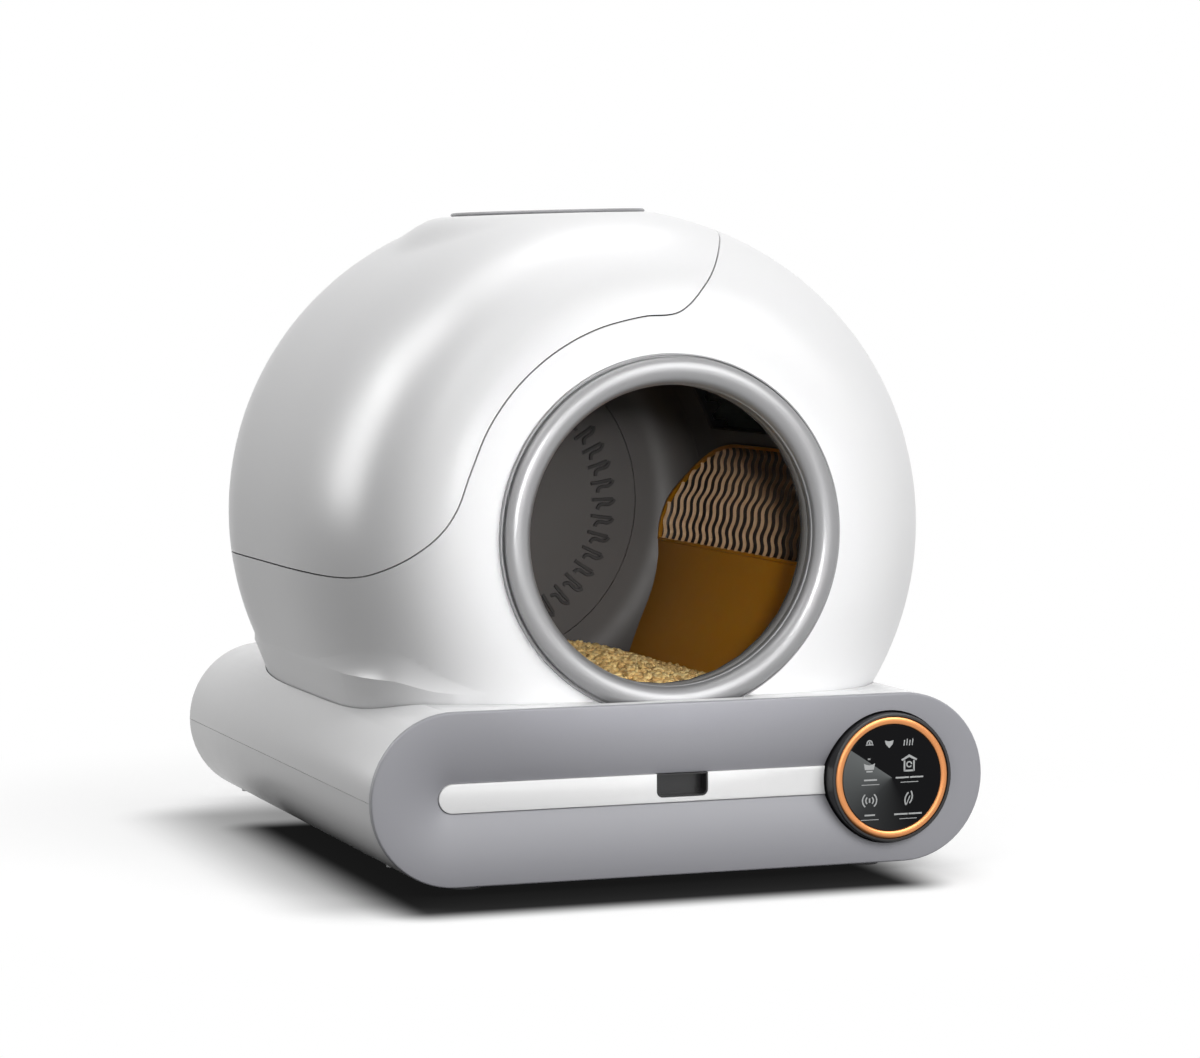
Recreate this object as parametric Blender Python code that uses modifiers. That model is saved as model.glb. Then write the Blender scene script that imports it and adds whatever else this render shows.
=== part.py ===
"""A self cleaning litter box: a drum that turns about the line through its round entrance, under a
two-piece hood, on a low pill-shaped base with a waste drawer. Metres, +Z up, the front faces -Y."""

from math import cos, pi, radians, sin, sqrt

import bmesh
import bpy
from mathutils import Matrix, Vector

# Base
base_width = 0.530
base_depth = 0.604
base_height = 0.140
foot_height = 0.007
base_wall = 0.003
base_back_round = 0.012
back_step_share = 0.3
base_front_edge = 0.0008
half_gap = 0.0004
seat_gap = 0.0003
overrun = 0.010

# Hood, lid and entrance
axis_above_base = 0.133
hood_radius = 0.2714
hood_setback = 0.033
hood_back_inset = 0.0346
hood_front_run_share = 0.4799
hood_band_share = 0.1827
hood_wall = 0.003
hood_front_power = 2.89
hood_back_power = 1.90
ring_outer_radius = 0.148
ring_inner_radius = 0.1225
ring_proud = 0.013
neck_wall = 0.0035
neck_depth = 0.017
seal_thickness = 0.002
skirt_side_inset = 0.0305
skirt_depth_share = 0.453
skirt_power = 4.6
skirt_draft_share = 0.37
skirt_crease_height = 0.0175
skirt_front_drop = 0.0095
skirt_drop_shares = (0.80, 0.96)
skirt_blend_rise = 0.004
skirt_blend_share = 2.0
skirt_sunk = 0.0165
skirt_clearance = 0.0010
skirt_centre_share = 0.47
ledge_width = 0.012
ledge_thickness = 0.006
collar_wall = 0.006
seam_gap = 0.0008

# Drum and what turns in it
drum_radius = 0.204
drum_wall = 0.0025
drum_front_gap = 0.0006
drum_rear_room = 0.0210
drum_mouth_radius = 0.1285
drum_nose_share = 0.11
drum_corner = 0.040
drum_back_radius = 0.148
cradle_clearance = 0.006
cradle_wall = 0.0025

# Drive
gear_module = 0.006
drum_teeth = 72
pinion_teeth = 9
gear_width = 0.012
gear_from_back = 0.075
gear_backlash = 0.0014
pinion_angle = radians(-52)
pinion_mesh_gap = 0.0004
roller_radius = 0.014
roller_width = 0.016
roller_angle = radians(-50)
roller_front_inset = 0.085
roller_back_inset = 0.120
axle_radius = 0.003
axle_play = 0.0003
ear_thickness = 0.004

# Drawer
front_edge = 0.0016
plate_thickness = 0.006
plate_gap = 0.0006
dish_rim = 0.012
dish_depth = 0.009
slot_radius = 0.012
slot_floor_depth = 0.0125
drawer_floor = 0.0025
boss_inset = 0.010
boss_wall = 0.0025
boss_depth = 0.027
boss_play = 0.0012
strip_sunk = 0.0075
strip_play = 0.0003
pull_width = 0.044
pull_height = 0.019
pull_depth = 0.013
pull_wall = 0.0012
tray_side_reach = 0.010
tray_control_room = 0.068
tray_gear_gap = 0.0008
tray_wall = 0.002
tray_corner = 0.020
tray_draft = 0.006
tray_lift = 0.0025
tray_headroom = 0.0022
tray_lip = 0.0035

# Control disc
control_proud = 0.0072
control_inset = 0.015
control_rise = 0.0011
control_radius = 0.0537
control_wall = 0.003
control_depth = 0.040
control_hole_play = 0.0015
trim_outer = 0.0505
trim_inner = 0.0455
glass_thickness = 0.0022
trim_proud = 0.0006

front = (control_proud - base_depth) / 2
back = front + base_depth
base_mid = foot_height + base_height / 2
base_top = foot_height + base_height
base_floor = foot_height + base_wall
end_radius = base_height / 2
end_offset = base_width / 2 - end_radius
shell_front = front + plate_thickness + plate_gap
axis_z = base_top + axis_above_base
hood_front = front + hood_setback
hood_back = back - hood_back_inset
hood_depth = hood_back - hood_front
hood_front_run = hood_depth * hood_front_run_share
hood_band = hood_depth * hood_band_share
hood_back_run = hood_depth - hood_front_run - hood_band
neck_back = hood_front + neck_depth
drum_front = neck_back + seal_thickness + drum_front_gap
pocket_floor = base_top - skirt_sunk
skirt_foot = pocket_floor + seat_gap
skirt_y = hood_front + hood_depth * skirt_centre_share
skirt_half_width = base_width / 2 - skirt_side_inset
skirt_half_depth = hood_depth * skirt_depth_share
drum_back = skirt_y + skirt_half_depth - drum_rear_room
drum_length = drum_back - drum_front
gear_back = drum_back - gear_from_back
gear_front = gear_back - gear_width
skirt_crease = base_top + skirt_crease_height
deck_top = pocket_floor - ledge_thickness - seat_gap
control_x = end_offset - control_inset
tray_left = end_offset + tray_side_reach
tray_right = control_x - tray_control_room
tray_front = front + boss_depth + seat_gap
tray_back = gear_front - tray_gear_gap

arc_steps = 10
turn_steps = 32
round_steps = 14
bore_steps = 10
disc_steps = 24
SHARP = radians(34)
merge_distance = 0.00002

for old in list(bpy.data.objects):
    bpy.data.objects.remove(old)

parts = bpy.data.collections.new("litter_box")
cutters = bpy.data.collections.new("cutters")
cutters.hide_render = True
bpy.context.scene.collection.children.link(parts)
bpy.context.scene.collection.children.link(cutters)


def finish(name, colour, roughness, metallic=0.0):
    """The material of one piece."""
    material = bpy.data.materials.new(name)
    material.use_nodes = True
    shader = material.node_tree.nodes["Principled BSDF"]
    shader.inputs["Base Color"].default_value = (*colour, 1.0)
    shader.inputs["Roughness"].default_value = roughness
    shader.inputs["Metallic"].default_value = metallic
    return material


def settle(obj, material):
    """Puts an object with the parts, or with the cutters when it has no material."""
    for held in list(obj.users_collection):
        held.objects.unlink(obj)
    if material is None:
        cutters.objects.link(obj)
        obj.hide_render = True
        obj.display_type = "WIRE"
        return obj
    parts.objects.link(obj)
    obj.data.materials.append(material)
    if obj.type == "MESH":
        obj.data.shade_smooth()
        obj.data.set_sharp_from_angle(angle=SHARP)
    return obj


def from_bmesh(name, mesh, material):
    data = bpy.data.meshes.new(name)
    mesh.to_mesh(data)
    mesh.free()
    obj = bpy.data.objects.new(name, data)
    return settle(obj, material)


def boolean(obj, tool, operation):
    step = obj.modifiers.new(tool.name, "BOOLEAN")
    step.object = tool
    step.operation = operation
    return obj


def cut(obj, *tools):
    for tool in tools:
        boolean(obj, tool, "DIFFERENCE")
    return obj


def join(obj, *tools):
    for tool in tools:
        boolean(obj, tool, "UNION")
    return obj


def trim(obj, tool):
    return boolean(obj, tool, "INTERSECT")


def block(name, low, high, material=None, bevel=0.0):
    """A box between two corners."""
    mesh = bmesh.new()
    size = [b - a for a, b in zip(low, high)]
    centre = [(a + b) / 2 for a, b in zip(low, high)]
    place = Matrix.Translation(centre) @ Matrix.Diagonal((*size, 1))
    bmesh.ops.create_cube(mesh, size=1.0, matrix=place)
    obj = from_bmesh(name, mesh, material)
    if bevel:
        rounding = obj.modifiers.new("round", "BEVEL")
        rounding.width = bevel
        rounding.segments = 2
    return obj


def rod(name, radius, start, end, material=None, sides=round_steps):
    """A round bar from one point to another."""
    start, end = Vector(start), Vector(end)
    run = end - start
    mesh = bmesh.new()
    turn = run.to_track_quat("Z", "Y").to_matrix().to_4x4()
    place = Matrix.Translation((start + end) / 2) @ turn
    bmesh.ops.create_cone(
        mesh, cap_ends=True, segments=sides, radius1=radius, radius2=radius, depth=run.length, matrix=place
    )
    return from_bmesh(name, mesh, material)


def turned(name, profile, place, material=None, steps=turn_steps, upright=False):
    """A closed profile of (radius, distance along the axis) turned about Y, or about Z when upright."""
    area = sum(a[0] * b[1] - b[0] * a[1] for a, b in zip(profile, profile[1:] + profile[:1]))
    if area > 0:
        profile = profile[::-1]
    data = bpy.data.meshes.new(name)
    edges = [(i, (i + 1) % len(profile)) for i in range(len(profile))]
    if profile_on_axis(profile):
        edges = [edge for edge in edges if profile[edge[0]][0] > 0 or profile[edge[1]][0] > 0]
    data.from_pydata([(radius, 0, along) for radius, along in profile], edges, [])
    obj = bpy.data.objects.new(name, data)
    obj.location = place
    if not upright:
        obj.rotation_euler = (-pi / 2, 0, 0)
    spin = obj.modifiers.new("turn", "SCREW")
    spin.steps = steps
    spin.render_steps = steps
    spin.use_merge_vertices = True
    spin.merge_threshold = merge_distance
    spin.use_smooth_shade = True
    return settle(obj, material)


def profile_on_axis(profile):
    return any(radius == 0 for radius, _ in profile)


def on_axis(name, radius, y_low, y_high, steps=turn_steps):
    """A cylinder about the drum's axis, its facets in line with those of the turned pieces."""
    profile = [(0, y_low), (radius, y_low), (radius, y_high), (0, y_high)]
    return turned(name, profile, (0, 0, axis_z), steps=steps)


def loft(name, rings, material=None):
    """A solid through rings of equally many points, capped at the first and the last."""
    mesh = bmesh.new()
    rows = [[mesh.verts.new(point) for point in ring] for ring in rings]
    for low, high in zip(rows, rows[1:]):
        for i in range(len(low)):
            j = (i + 1) % len(low)
            mesh.faces.new((low[i], low[j], high[j], high[i]))
    mesh.faces.new(rows[0][::-1])
    mesh.faces.new(rows[-1])
    bmesh.ops.recalc_face_normals(mesh, faces=mesh.faces)
    return from_bmesh(name, mesh, material)


def prism_y(name, outline, y_low, y_high, material=None):
    """An outline of (x, z) points run along Y."""
    return loft(name, [[(x, y, z) for x, z in outline] for y in (y_low, y_high)], material)


def pill(radius, y, offset=end_offset, middle=base_mid):
    """A stadium outline in the plane at y."""
    points = []
    for side in (1, -1):
        for i in range(arc_steps + 1):
            angle = pi * i / arc_steps
            points.append((side * (offset + radius * sin(angle)), y, middle - side * radius * cos(angle)))
    return points


def pill_solid(name, rings, material=None):
    return loft(name, [pill(radius, y) for radius, y in rings], material)


def superellipse(half_x, half_y, power, y_middle, z, count=36):
    points = []
    for i in range(count):
        angle = 2 * pi * (i + 0.5) / count
        c, s = cos(angle), sin(angle)
        x = half_x * abs(c) ** (2 / power) * (1 if c > 0 else -1)
        y = half_y * abs(s) ** (2 / power) * (1 if s > 0 else -1)
        points.append((x, y_middle + y, z))
    return points


def skirt_ring(grow, z):
    """The foot of the hood at a height: it leans out as it rises."""
    lean = (z - skirt_foot) * skirt_draft_share
    return superellipse(
        skirt_half_width + lean + grow, skirt_half_depth + lean + grow, skirt_power, skirt_y, z
    )


def skirt_solid(name, grow, z_low, z_high, material=None):
    return loft(name, [skirt_ring(grow, z_low), skirt_ring(grow, z_high)], material)


def rounded_rectangle(x_low, x_high, y_low, y_high, radius, z, steps=5):
    corners = ((x_high, y_high, 0), (x_low, y_high, 1), (x_low, y_low, 2), (x_high, y_low, 3))
    points = []
    for x, y, quarter in corners:
        centre_x = x - radius if x == x_high else x + radius
        centre_y = y - radius if y == y_high else y + radius
        for i in range(steps + 1):
            angle = pi / 2 * (quarter + i / steps)
            points.append((centre_x + radius * cos(angle), centre_y + radius * sin(angle), z))
    return points


def smooth_curve(points, steps=4):
    """Points on a Catmull-Rom curve through the given ones."""
    points = [Vector(p) for p in points]
    ends = [2 * points[0] - points[1]] + points + [2 * points[-1] - points[-2]]
    curve = []
    for a, b, c, d in zip(ends, ends[1:], ends[2:], ends[3:]):
        for i in range(steps):
            t = i / steps
            curve.append(
                0.5 * (2 * b + (c - a) * t + (2 * a - 5 * b + 4 * c - d) * t * t + (3 * b - a - 3 * c + d) * t**3)
            )
    return curve + [points[-1]]


def offset_curve(points, distance):
    """The same open curve moved to its left by a distance."""
    moved = []
    for i, point in enumerate(points):
        before, after = points[max(i - 1, 0)], points[min(i + 1, len(points) - 1)]
        along = (after - before).normalized()
        moved.append(point + Vector((-along.y, along.x)) * distance)
    return moved


def hood_outline(wall):
    """(radius, depth from the hood's front) of the surface that lies a wall's thickness inside the outer one."""
    steps = 5
    flat = ring_outer_radius
    points = []
    for i in range(steps + 1):
        angle = pi / 2 * i / steps
        run = sin(angle) ** (2 / hood_front_power), cos(angle) ** (2 / hood_front_power)
        radius = flat + (hood_radius - wall - flat) * run[0]
        points.append((radius, wall + (hood_front_run - wall) * (1 - run[1])))
    for i in range(steps + 1):
        angle = pi / 2 * i / steps
        run = cos(angle) ** (2 / hood_back_power), sin(angle) ** (2 / hood_back_power)
        radius = flat + (hood_radius - wall - flat) * run[0]
        points.append((radius, hood_front_run + hood_band + (hood_back_run - wall) * run[1]))
    return points


def hood_solid(name, wall, material=None, bore=0.0):
    """The hood's form filled in, with a blind bore for the entrance where one is given."""
    outline = hood_outline(wall)
    if bore:
        bore_end = hood_front_run / 2
        closed = [(0, bore_end), (bore, bore_end), (bore, outline[0][1])] + outline + [(0, outline[-1][1])]
    else:
        closed = [(0, outline[0][1])] + outline + [(0, outline[-1][1])]
    return turned(name, closed, (0, hood_front, axis_z), material)


def hood_radius_at(depth):
    """Radius of the hood's outer surface at a depth behind its front."""
    behind = depth - hood_front_run - hood_band
    if depth < hood_front_run:
        share, power = 1 - depth / hood_front_run, hood_front_power
    else:
        share, power = max(0.0, behind / hood_back_run), hood_back_power
    along = min(1.0, share) ** (power / 2)
    return ring_outer_radius + (hood_radius - ring_outer_radius) * sqrt(1 - along * along) ** (2 / power)


def crease_height(y):
    """Height of the foot's crease: it drops along the front, where it runs out into the hood."""
    start, end = skirt_drop_shares
    share = ((skirt_y - y) / skirt_half_depth - start) / (end - start)
    share = min(1.0, max(0.0, share))
    return skirt_crease - skirt_front_drop * share * share * (3 - 2 * share)


def hood_point(x, y, z, inset):
    """Where a ray at a height, from the skirt's middle line through a point, meets the hood."""
    low, high = 0.0, 2.0
    drop = axis_z - z
    for _ in range(30):
        share = (low + high) / 2
        depth = skirt_y + (y - skirt_y) * share - hood_front
        inside = inset < depth < hood_depth - inset
        if inside and sqrt((x * share) ** 2 + drop**2) < hood_radius_at(depth) - inset:
            low = share
        else:
            high = share
    return Vector((x * low, skirt_y + (y - skirt_y) * low, z))


def flared_skirt(name, inset):
    """The foot of the hood: it leans out to a crease and turns back into the hood's own surface."""
    foot = skirt_ring(-inset, skirt_foot)
    crease, top = [], []
    for i, (x, y, _) in enumerate(foot):
        height = crease_height(y)
        edge = Vector(skirt_ring(-inset, height)[i])
        inner = hood_point(x, y, height, inset)
        middle = Vector((0, skirt_y, height))
        gap = max(0.0, (edge - middle).length - (inner - middle).length)
        crease.append(edge)
        top.append(hood_point(x, y, height + skirt_blend_rise + skirt_blend_share * gap, hood_wall + inset))
    under = [(x, y, skirt_foot - overrun) for x, y, z in foot]
    return loft(name, [under, foot, crease, top] if inset else [foot, crease, top])


def on_drum(radius, angle):
    """(x, z) at a radius and an angle about the drum's axis, from +X towards +Z."""
    return radius * cos(angle), axis_z + radius * sin(angle)


axis_point = (0, 0, axis_z)

white = (0.86, 0.86, 0.865)
dark_plastic = (0.055, 0.052, 0.052)
steel = (0.62, 0.63, 0.65)

# Base shells: one pill split along its middle, open at the front where the drawer fills it


def base_back_rings(inset):
    """The rounded back end, moved in by a distance."""
    step = base_back_round * back_step_share
    return [
        (end_radius - inset, back - base_back_round - inset),
        (end_radius - step - inset, back - step - inset),
        (end_radius - base_back_round - inset, back - inset),
    ]


def base_outer(name, material=None):
    rings = [(end_radius - base_front_edge, shell_front), (end_radius, shell_front + base_front_edge)]
    return pill_solid(name, rings + base_back_rings(0), material)


base_inner_rings = [(end_radius - base_wall, front)] + base_back_rings(base_wall)
wide = base_width
upper_half = block("upper_half", (-wide, front - wide, base_mid - half_gap / 2), (wide, back + wide, base_top + wide))
lower_half = block("lower_half", (-wide, front - wide, -wide), (wide, back + wide, base_mid + half_gap / 2))

# Screw posts stand in the rounded ends, clear of the drawer
post_radius = 0.0055
post_offset_share = 0.40
post_x = end_offset + end_radius * post_offset_share
post_front_inset = 0.070
post_back_inset = 0.060
screw_radius = 0.0016
screw_head_radius = 0.0034
screw_head_height = 0.0024
screw_reach = 0.012
screw_play = 0.0003
screw_sink = 0.008
post_places = [
    (side * post_x, y)
    for side in (-1, 1)
    for y in (shell_front + base_wall + post_front_inset, back - base_wall - post_back_inset)
]
post_bottom = base_mid - sqrt(end_radius**2 - (post_x - end_offset) ** 2)

base_lower = base_outer("base_lower", finish("base_lower", white, 0.28))
cut(base_lower, upper_half)
lower_cavity = pill_solid("lower_cavity", base_inner_rings)
cut(base_lower, lower_cavity)

for i, (x, y) in enumerate(post_places):
    post = rod(
        f"lower_post_{i}",
        post_radius,
        (x, y, post_bottom + base_wall / 2),
        (x, y, base_mid - half_gap),
        sides=bore_steps,
    )
    join(base_lower, post)
    head_top = post_bottom + screw_sink
    cut(
        base_lower,
        rod(f"head_bore_{i}", screw_head_radius + screw_play, (x, y, -overrun), (x, y, head_top), sides=bore_steps),
        rod(f"lower_bore_{i}", screw_radius + screw_play, (x, y, 0), (x, y, base_top), sides=bore_steps),
    )

# Two ribs on the floor carry the drawer's tray
rib_width = 0.003
rib_inset = 0.030
tray_bottom = base_floor + tray_lift
for x in (-tray_left + rib_inset, tray_right - rib_inset):
    rib = block(
        f"floor_rib_{x:.3f}",
        (x - rib_width / 2, shell_front + base_wall + overrun, base_floor - base_wall / 2),
        (x + rib_width / 2, tray_back, tray_bottom - seat_gap),
    )
    join(base_lower, rib)

# Base top: a collar with a ledge takes the foot of the hood, and a notch clears the entrance ring
notch_clearance = 0.0015
notch_front_gap = 0.002
notch_radius = ring_outer_radius + notch_clearance
notch_front = hood_front - ring_proud - notch_front_gap
collar = skirt_solid("collar", collar_wall, deck_top + seat_gap, base_top + overrun)
notch_liner = on_axis("notch_liner", notch_radius + base_wall, notch_front - base_wall, skirt_y)
hood_liner = hood_solid("hood_liner", -skirt_clearance - base_wall)
trim(hood_liner, block("above_ledge", (-wide, front - wide, pocket_floor - base_wall), (wide, back + wide, axis_z)))
upper_cavity = pill_solid("upper_cavity", base_inner_rings)
cut(upper_cavity, collar, notch_liner, hood_liner)
base_upper = base_outer("base_upper", finish("base_upper", white, 0.26))
cut(base_upper, lower_half, upper_cavity)
for i, (x, y) in enumerate(post_places):
    top = base_mid + sqrt(end_radius**2 - (post_x - end_offset) ** 2) - base_wall / 2
    join(base_upper, rod(f"upper_post_{i}", post_radius, (x, y, base_mid + half_gap), (x, y, top), sides=bore_steps))
    cut(
        base_upper,
        rod(
            f"upper_bore_{i}",
            screw_radius + screw_play,
            (x, y, 0),
            (x, y, base_mid + screw_reach + screw_play),
            sides=bore_steps,
        ),
    )
pocket = skirt_solid("pocket", skirt_clearance, pocket_floor, base_top + overrun)
deck_opening = skirt_solid("deck_opening", -ledge_width, deck_top - overrun, base_top + overrun)
notch = on_axis("notch", notch_radius, notch_front, skirt_y)
hood_room = hood_solid("hood_room", -skirt_clearance)
trim(hood_room, block("above_pocket", (-wide, front - wide, pocket_floor), (wide, back + wide, axis_z)))
cut(base_upper, pocket, hood_room, deck_opening, notch)

# Screws from below
screw_metal = finish("base_screw", steel, 0.35, metallic=1.0)
for i, (x, y) in enumerate(post_places):
    screw_top = base_mid + screw_reach
    seat = post_bottom + screw_sink - seat_gap
    profile = [
        (0, seat - screw_head_height),
        (screw_head_radius, seat - screw_head_height),
        (screw_head_radius, seat),
        (screw_radius, seat),
        (screw_radius, screw_top),
        (0, screw_top),
    ]
    side_name = "left" if x < 0 else "right"
    end_name = "front" if y < 0 else "rear"
    turned(f"base_screw_{end_name}_{side_name}", profile, (x, y, 0), screw_metal, steps=bore_steps, upright=True)

# Rubber feet
foot_radius = 0.016
foot_x_inset = 0.020
foot_front_inset = 0.045
foot_back_inset = 0.070
foot_edge = 0.0015
foot_rubber = finish("foot", (0.33, 0.33, 0.34), 0.8)
for side_name, side in (("left", -1), ("right", 1)):
    for end_name, y in (("front", front + foot_front_inset), ("rear", back - foot_back_inset)):
        top = foot_height - seat_gap
        profile = [(0, 0), (foot_radius - foot_edge, 0), (foot_radius, foot_edge), (foot_radius, top), (0, top)]
        place = (side * (end_offset - foot_x_inset), y, 0)
        turned(f"foot_{end_name}_{side_name}", profile, place, foot_rubber, steps=round_steps, upright=True)


# Drum: a nose with the mouth, a barrel and a rear ring. Depths are measured from the drum's front


def drum_outline(grow):
    nose = drum_length * drum_nose_share
    corner = drum_corner
    points = [(drum_mouth_radius + grow, -grow)]
    steps = 3
    for i in range(1, steps + 1):
        angle = pi / 2 * i / steps
        radius = drum_mouth_radius + (drum_radius - drum_mouth_radius) * sin(angle)
        points.append((radius + grow * sin(angle), nose * (1 - cos(angle)) - grow * cos(angle)))
    for i in range(steps + 1):
        angle = pi / 2 * i / steps
        radius = drum_radius - corner + (corner + grow) * cos(angle)
        points.append((radius, drum_length - corner + (corner + grow) * sin(angle)))
    return points


def drum_solid(name, grow):
    outline = drum_outline(grow)
    closed = [(0, outline[0][1])] + outline + [(0, outline[-1][1])]
    return turned(name, closed, (0, drum_front, axis_z))


outer = drum_outline(0)
inner = drum_outline(-drum_wall)
mouth_lip = 0.0025
inner[0] = (drum_mouth_radius - mouth_lip, 0)
back_step = (drum_back_radius + seat_gap, drum_length)
back_step_inner = (drum_back_radius + seat_gap, drum_length - drum_wall)
drum_plastic = finish("drum_shell", dark_plastic, 0.5)
nose_points = len(outer) // 2
nose_profile = outer[:nose_points] + inner[:nose_points][::-1]
turned("drum_nose", nose_profile, (0, drum_front, axis_z), drum_plastic)
barrel_front = outer[nose_points - 1][1] + seat_gap
barrel_back = outer[nose_points][1] - seat_gap
barrel_profile = [
    (drum_radius, barrel_front),
    (drum_radius, barrel_back),
    (drum_radius - drum_wall, barrel_back),
    (drum_radius - drum_wall, barrel_front),
]
drum_shell = turned("drum_shell", barrel_profile, (0, drum_front, axis_z), drum_plastic)
rear_profile = outer[nose_points:] + [back_step, back_step_inner] + inner[nose_points:][::-1]
turned("drum_rear_ring", rear_profile, (0, drum_front, axis_z), drum_plastic)

# Waste port in the drum's wall, above the sieve
port_angle = radians(36)
port_width = 0.110
port_front_share = 0.30
port_back_share = 0.80
port = block(
    "port",
    (drum_radius - drum_wall - overrun, drum_front + drum_length * port_front_share, -port_width / 2),
    (drum_radius + overrun, drum_front + drum_length * port_back_share, port_width / 2),
)
port.data.transform(Matrix.Translation(axis_point) @ Matrix.Rotation(-port_angle, 4, "Y"))
cut(drum_shell, port)

# Back of the drum, with a ring of S-shaped ribs that face the entrance
rib_ring_radius = 0.114
rib_count = 26
rib_span = 0.024
rib_line = 0.0032
rib_rise = 0.0022
rib_shares = [(-0.42, 0.50), (-0.06, 0.30), (0.00, -0.24), (0.42, -0.48)]
disc_face = drum_length - drum_wall
disc_profile = [(0, disc_face), (drum_back_radius, disc_face), (drum_back_radius, drum_length), (0, drum_length)]
drum_back_disc = turned(
    "drum_back", disc_profile, (0, drum_front, axis_z), finish("drum_back", (0.085, 0.08, 0.078), 0.5)
)


def rib_outline():
    """An S stroke, tangent and radial shares of the rib's span, thickened to both sides."""
    line = [Vector(point) * rib_span for point in rib_shares]
    return offset_curve(line, rib_line / 2) + offset_curve(line, -rib_line / 2)[::-1]


ribs = bmesh.new()
rib_root = disc_face + drum_wall / 2
for i in range(rib_count):
    turn = Matrix.Translation((0, drum_front, axis_z)) @ Matrix.Rotation(2 * pi * i / rib_count, 4, "Y")
    rows = []
    for along in (disc_face - rib_rise, rib_root):
        ring = [turn @ Vector((point.x, along, rib_ring_radius + point.y)) for point in rib_outline()]
        rows.append([ribs.verts.new(point) for point in ring])
    for a in range(len(rows[0])):
        b = (a + 1) % len(rows[0])
        ribs.faces.new((rows[0][a], rows[0][b], rows[1][b], rows[1][a]))
    ribs.faces.new(rows[0][::-1])
    ribs.faces.new(rows[1])
bmesh.ops.recalc_face_normals(ribs, faces=ribs.faces)
join(drum_back_disc, from_bmesh("rib_ring", ribs, None))

# Ring gear round the drum
pitch_radius = gear_module * drum_teeth / 2
pinion_pitch_radius = gear_module * pinion_teeth / 2
addendum_share = 0.75
dedendum_share = 1.00
flank = radians(20)


def gear_outline(teeth, phase):
    """Straight-sided teeth with backlash, four points each."""
    pitch = gear_module * teeth / 2
    tip = pitch + gear_module * addendum_share
    root = pitch - gear_module * dedendum_share
    half = pi * gear_module / 4 - gear_backlash / 2
    tip_half = half - (tip - pitch) * sin(flank)
    root_half = half + (pitch - root) * sin(flank)
    points = []
    for i in range(teeth):
        middle = 2 * pi * (i + phase) / teeth
        for radius, width in ((root, -root_half), (tip, -tip_half), (tip, tip_half), (root, root_half)):
            angle = middle + width / radius
            points.append((radius * cos(angle), radius * sin(angle)))
    return points


def plate_from_curve(name, outlines, y_low, y_high, centre, material=None):
    """Flat outlines in XZ, the later ones holes, with a thickness along Y, as a mesh."""
    curve = bpy.data.curves.new(name, "CURVE")
    curve.dimensions = "2D"
    curve.fill_mode = "BOTH"
    curve.extrude = (y_high - y_low) / 2
    for outline in outlines:
        spline = curve.splines.new("POLY")
        spline.points.add(len(outline) - 1)
        for point, (x, z) in zip(spline.points, outline):
            point.co = (x, z, 0, 1)
        spline.use_cyclic_u = True
    flat = bpy.data.objects.new(name + "_curve", curve)
    bpy.context.scene.collection.objects.link(flat)
    graph = bpy.context.evaluated_depsgraph_get()
    data = bpy.data.meshes.new_from_object(flat.evaluated_get(graph))
    bpy.data.objects.remove(flat)
    mesh = bmesh.new()
    mesh.from_mesh(data)
    bmesh.ops.remove_doubles(mesh, verts=mesh.verts, dist=merge_distance)
    stand = Matrix.Translation((centre[0], (y_low + y_high) / 2, centre[1])) @ Matrix.Rotation(pi / 2, 4, "X")
    bmesh.ops.transform(mesh, matrix=stand, verts=mesh.verts)
    bmesh.ops.recalc_face_normals(mesh, faces=mesh.faces)
    return from_bmesh(name, mesh, material)


gear_bore = [
    ((drum_radius + seat_gap) * cos(2 * pi * i / turn_steps), (drum_radius + seat_gap) * sin(2 * pi * i / turn_steps))
    for i in range(turn_steps)
]
drum_gear = plate_from_curve(
    "drum_gear",
    [gear_outline(drum_teeth, 0), gear_bore],
    gear_front,
    gear_back,
    (0, axis_z),
    finish("drum_gear", (0.10, 0.10, 0.105), 0.45),
)

# Pinion on the gearbox shaft: one of its gaps faces a tooth of the ring gear
centre_distance = pitch_radius + pinion_pitch_radius + pinion_mesh_gap
pinion_x, pinion_z = on_drum(centre_distance, pinion_angle)
tooth_turn = pinion_angle * drum_teeth / (2 * pi)
gear_phase_there = tooth_turn - round(tooth_turn)
facing = pinion_angle + pi
pinion_phase = facing * pinion_teeth / (2 * pi) + 0.5 + gear_phase_there
shaft_radius = 0.003
gearbox_gap = 0.0045
pinion_overlap = 0.0015
motor_bracket_thickness = 0.003
pinion_front = gear_front - pinion_overlap
pinion_back = gear_back + pinion_overlap
bracket_front = pinion_back + pinion_overlap
bracket_back = bracket_front + motor_bracket_thickness
gearbox_front = bracket_back + seat_gap
shaft_back = gearbox_front + gearbox_gap
drive_pinion = plate_from_curve(
    "drive_pinion",
    [gear_outline(pinion_teeth, pinion_phase)],
    pinion_front,
    pinion_back,
    (pinion_x, pinion_z),
    finish("drive_pinion", (0.75, 0.73, 0.66), 0.4),
)
join(
    drive_pinion,
    rod("pinion_shaft", shaft_radius, (pinion_x, pinion_front - pinion_overlap, pinion_z), (pinion_x, shaft_back, pinion_z)),
)

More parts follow.
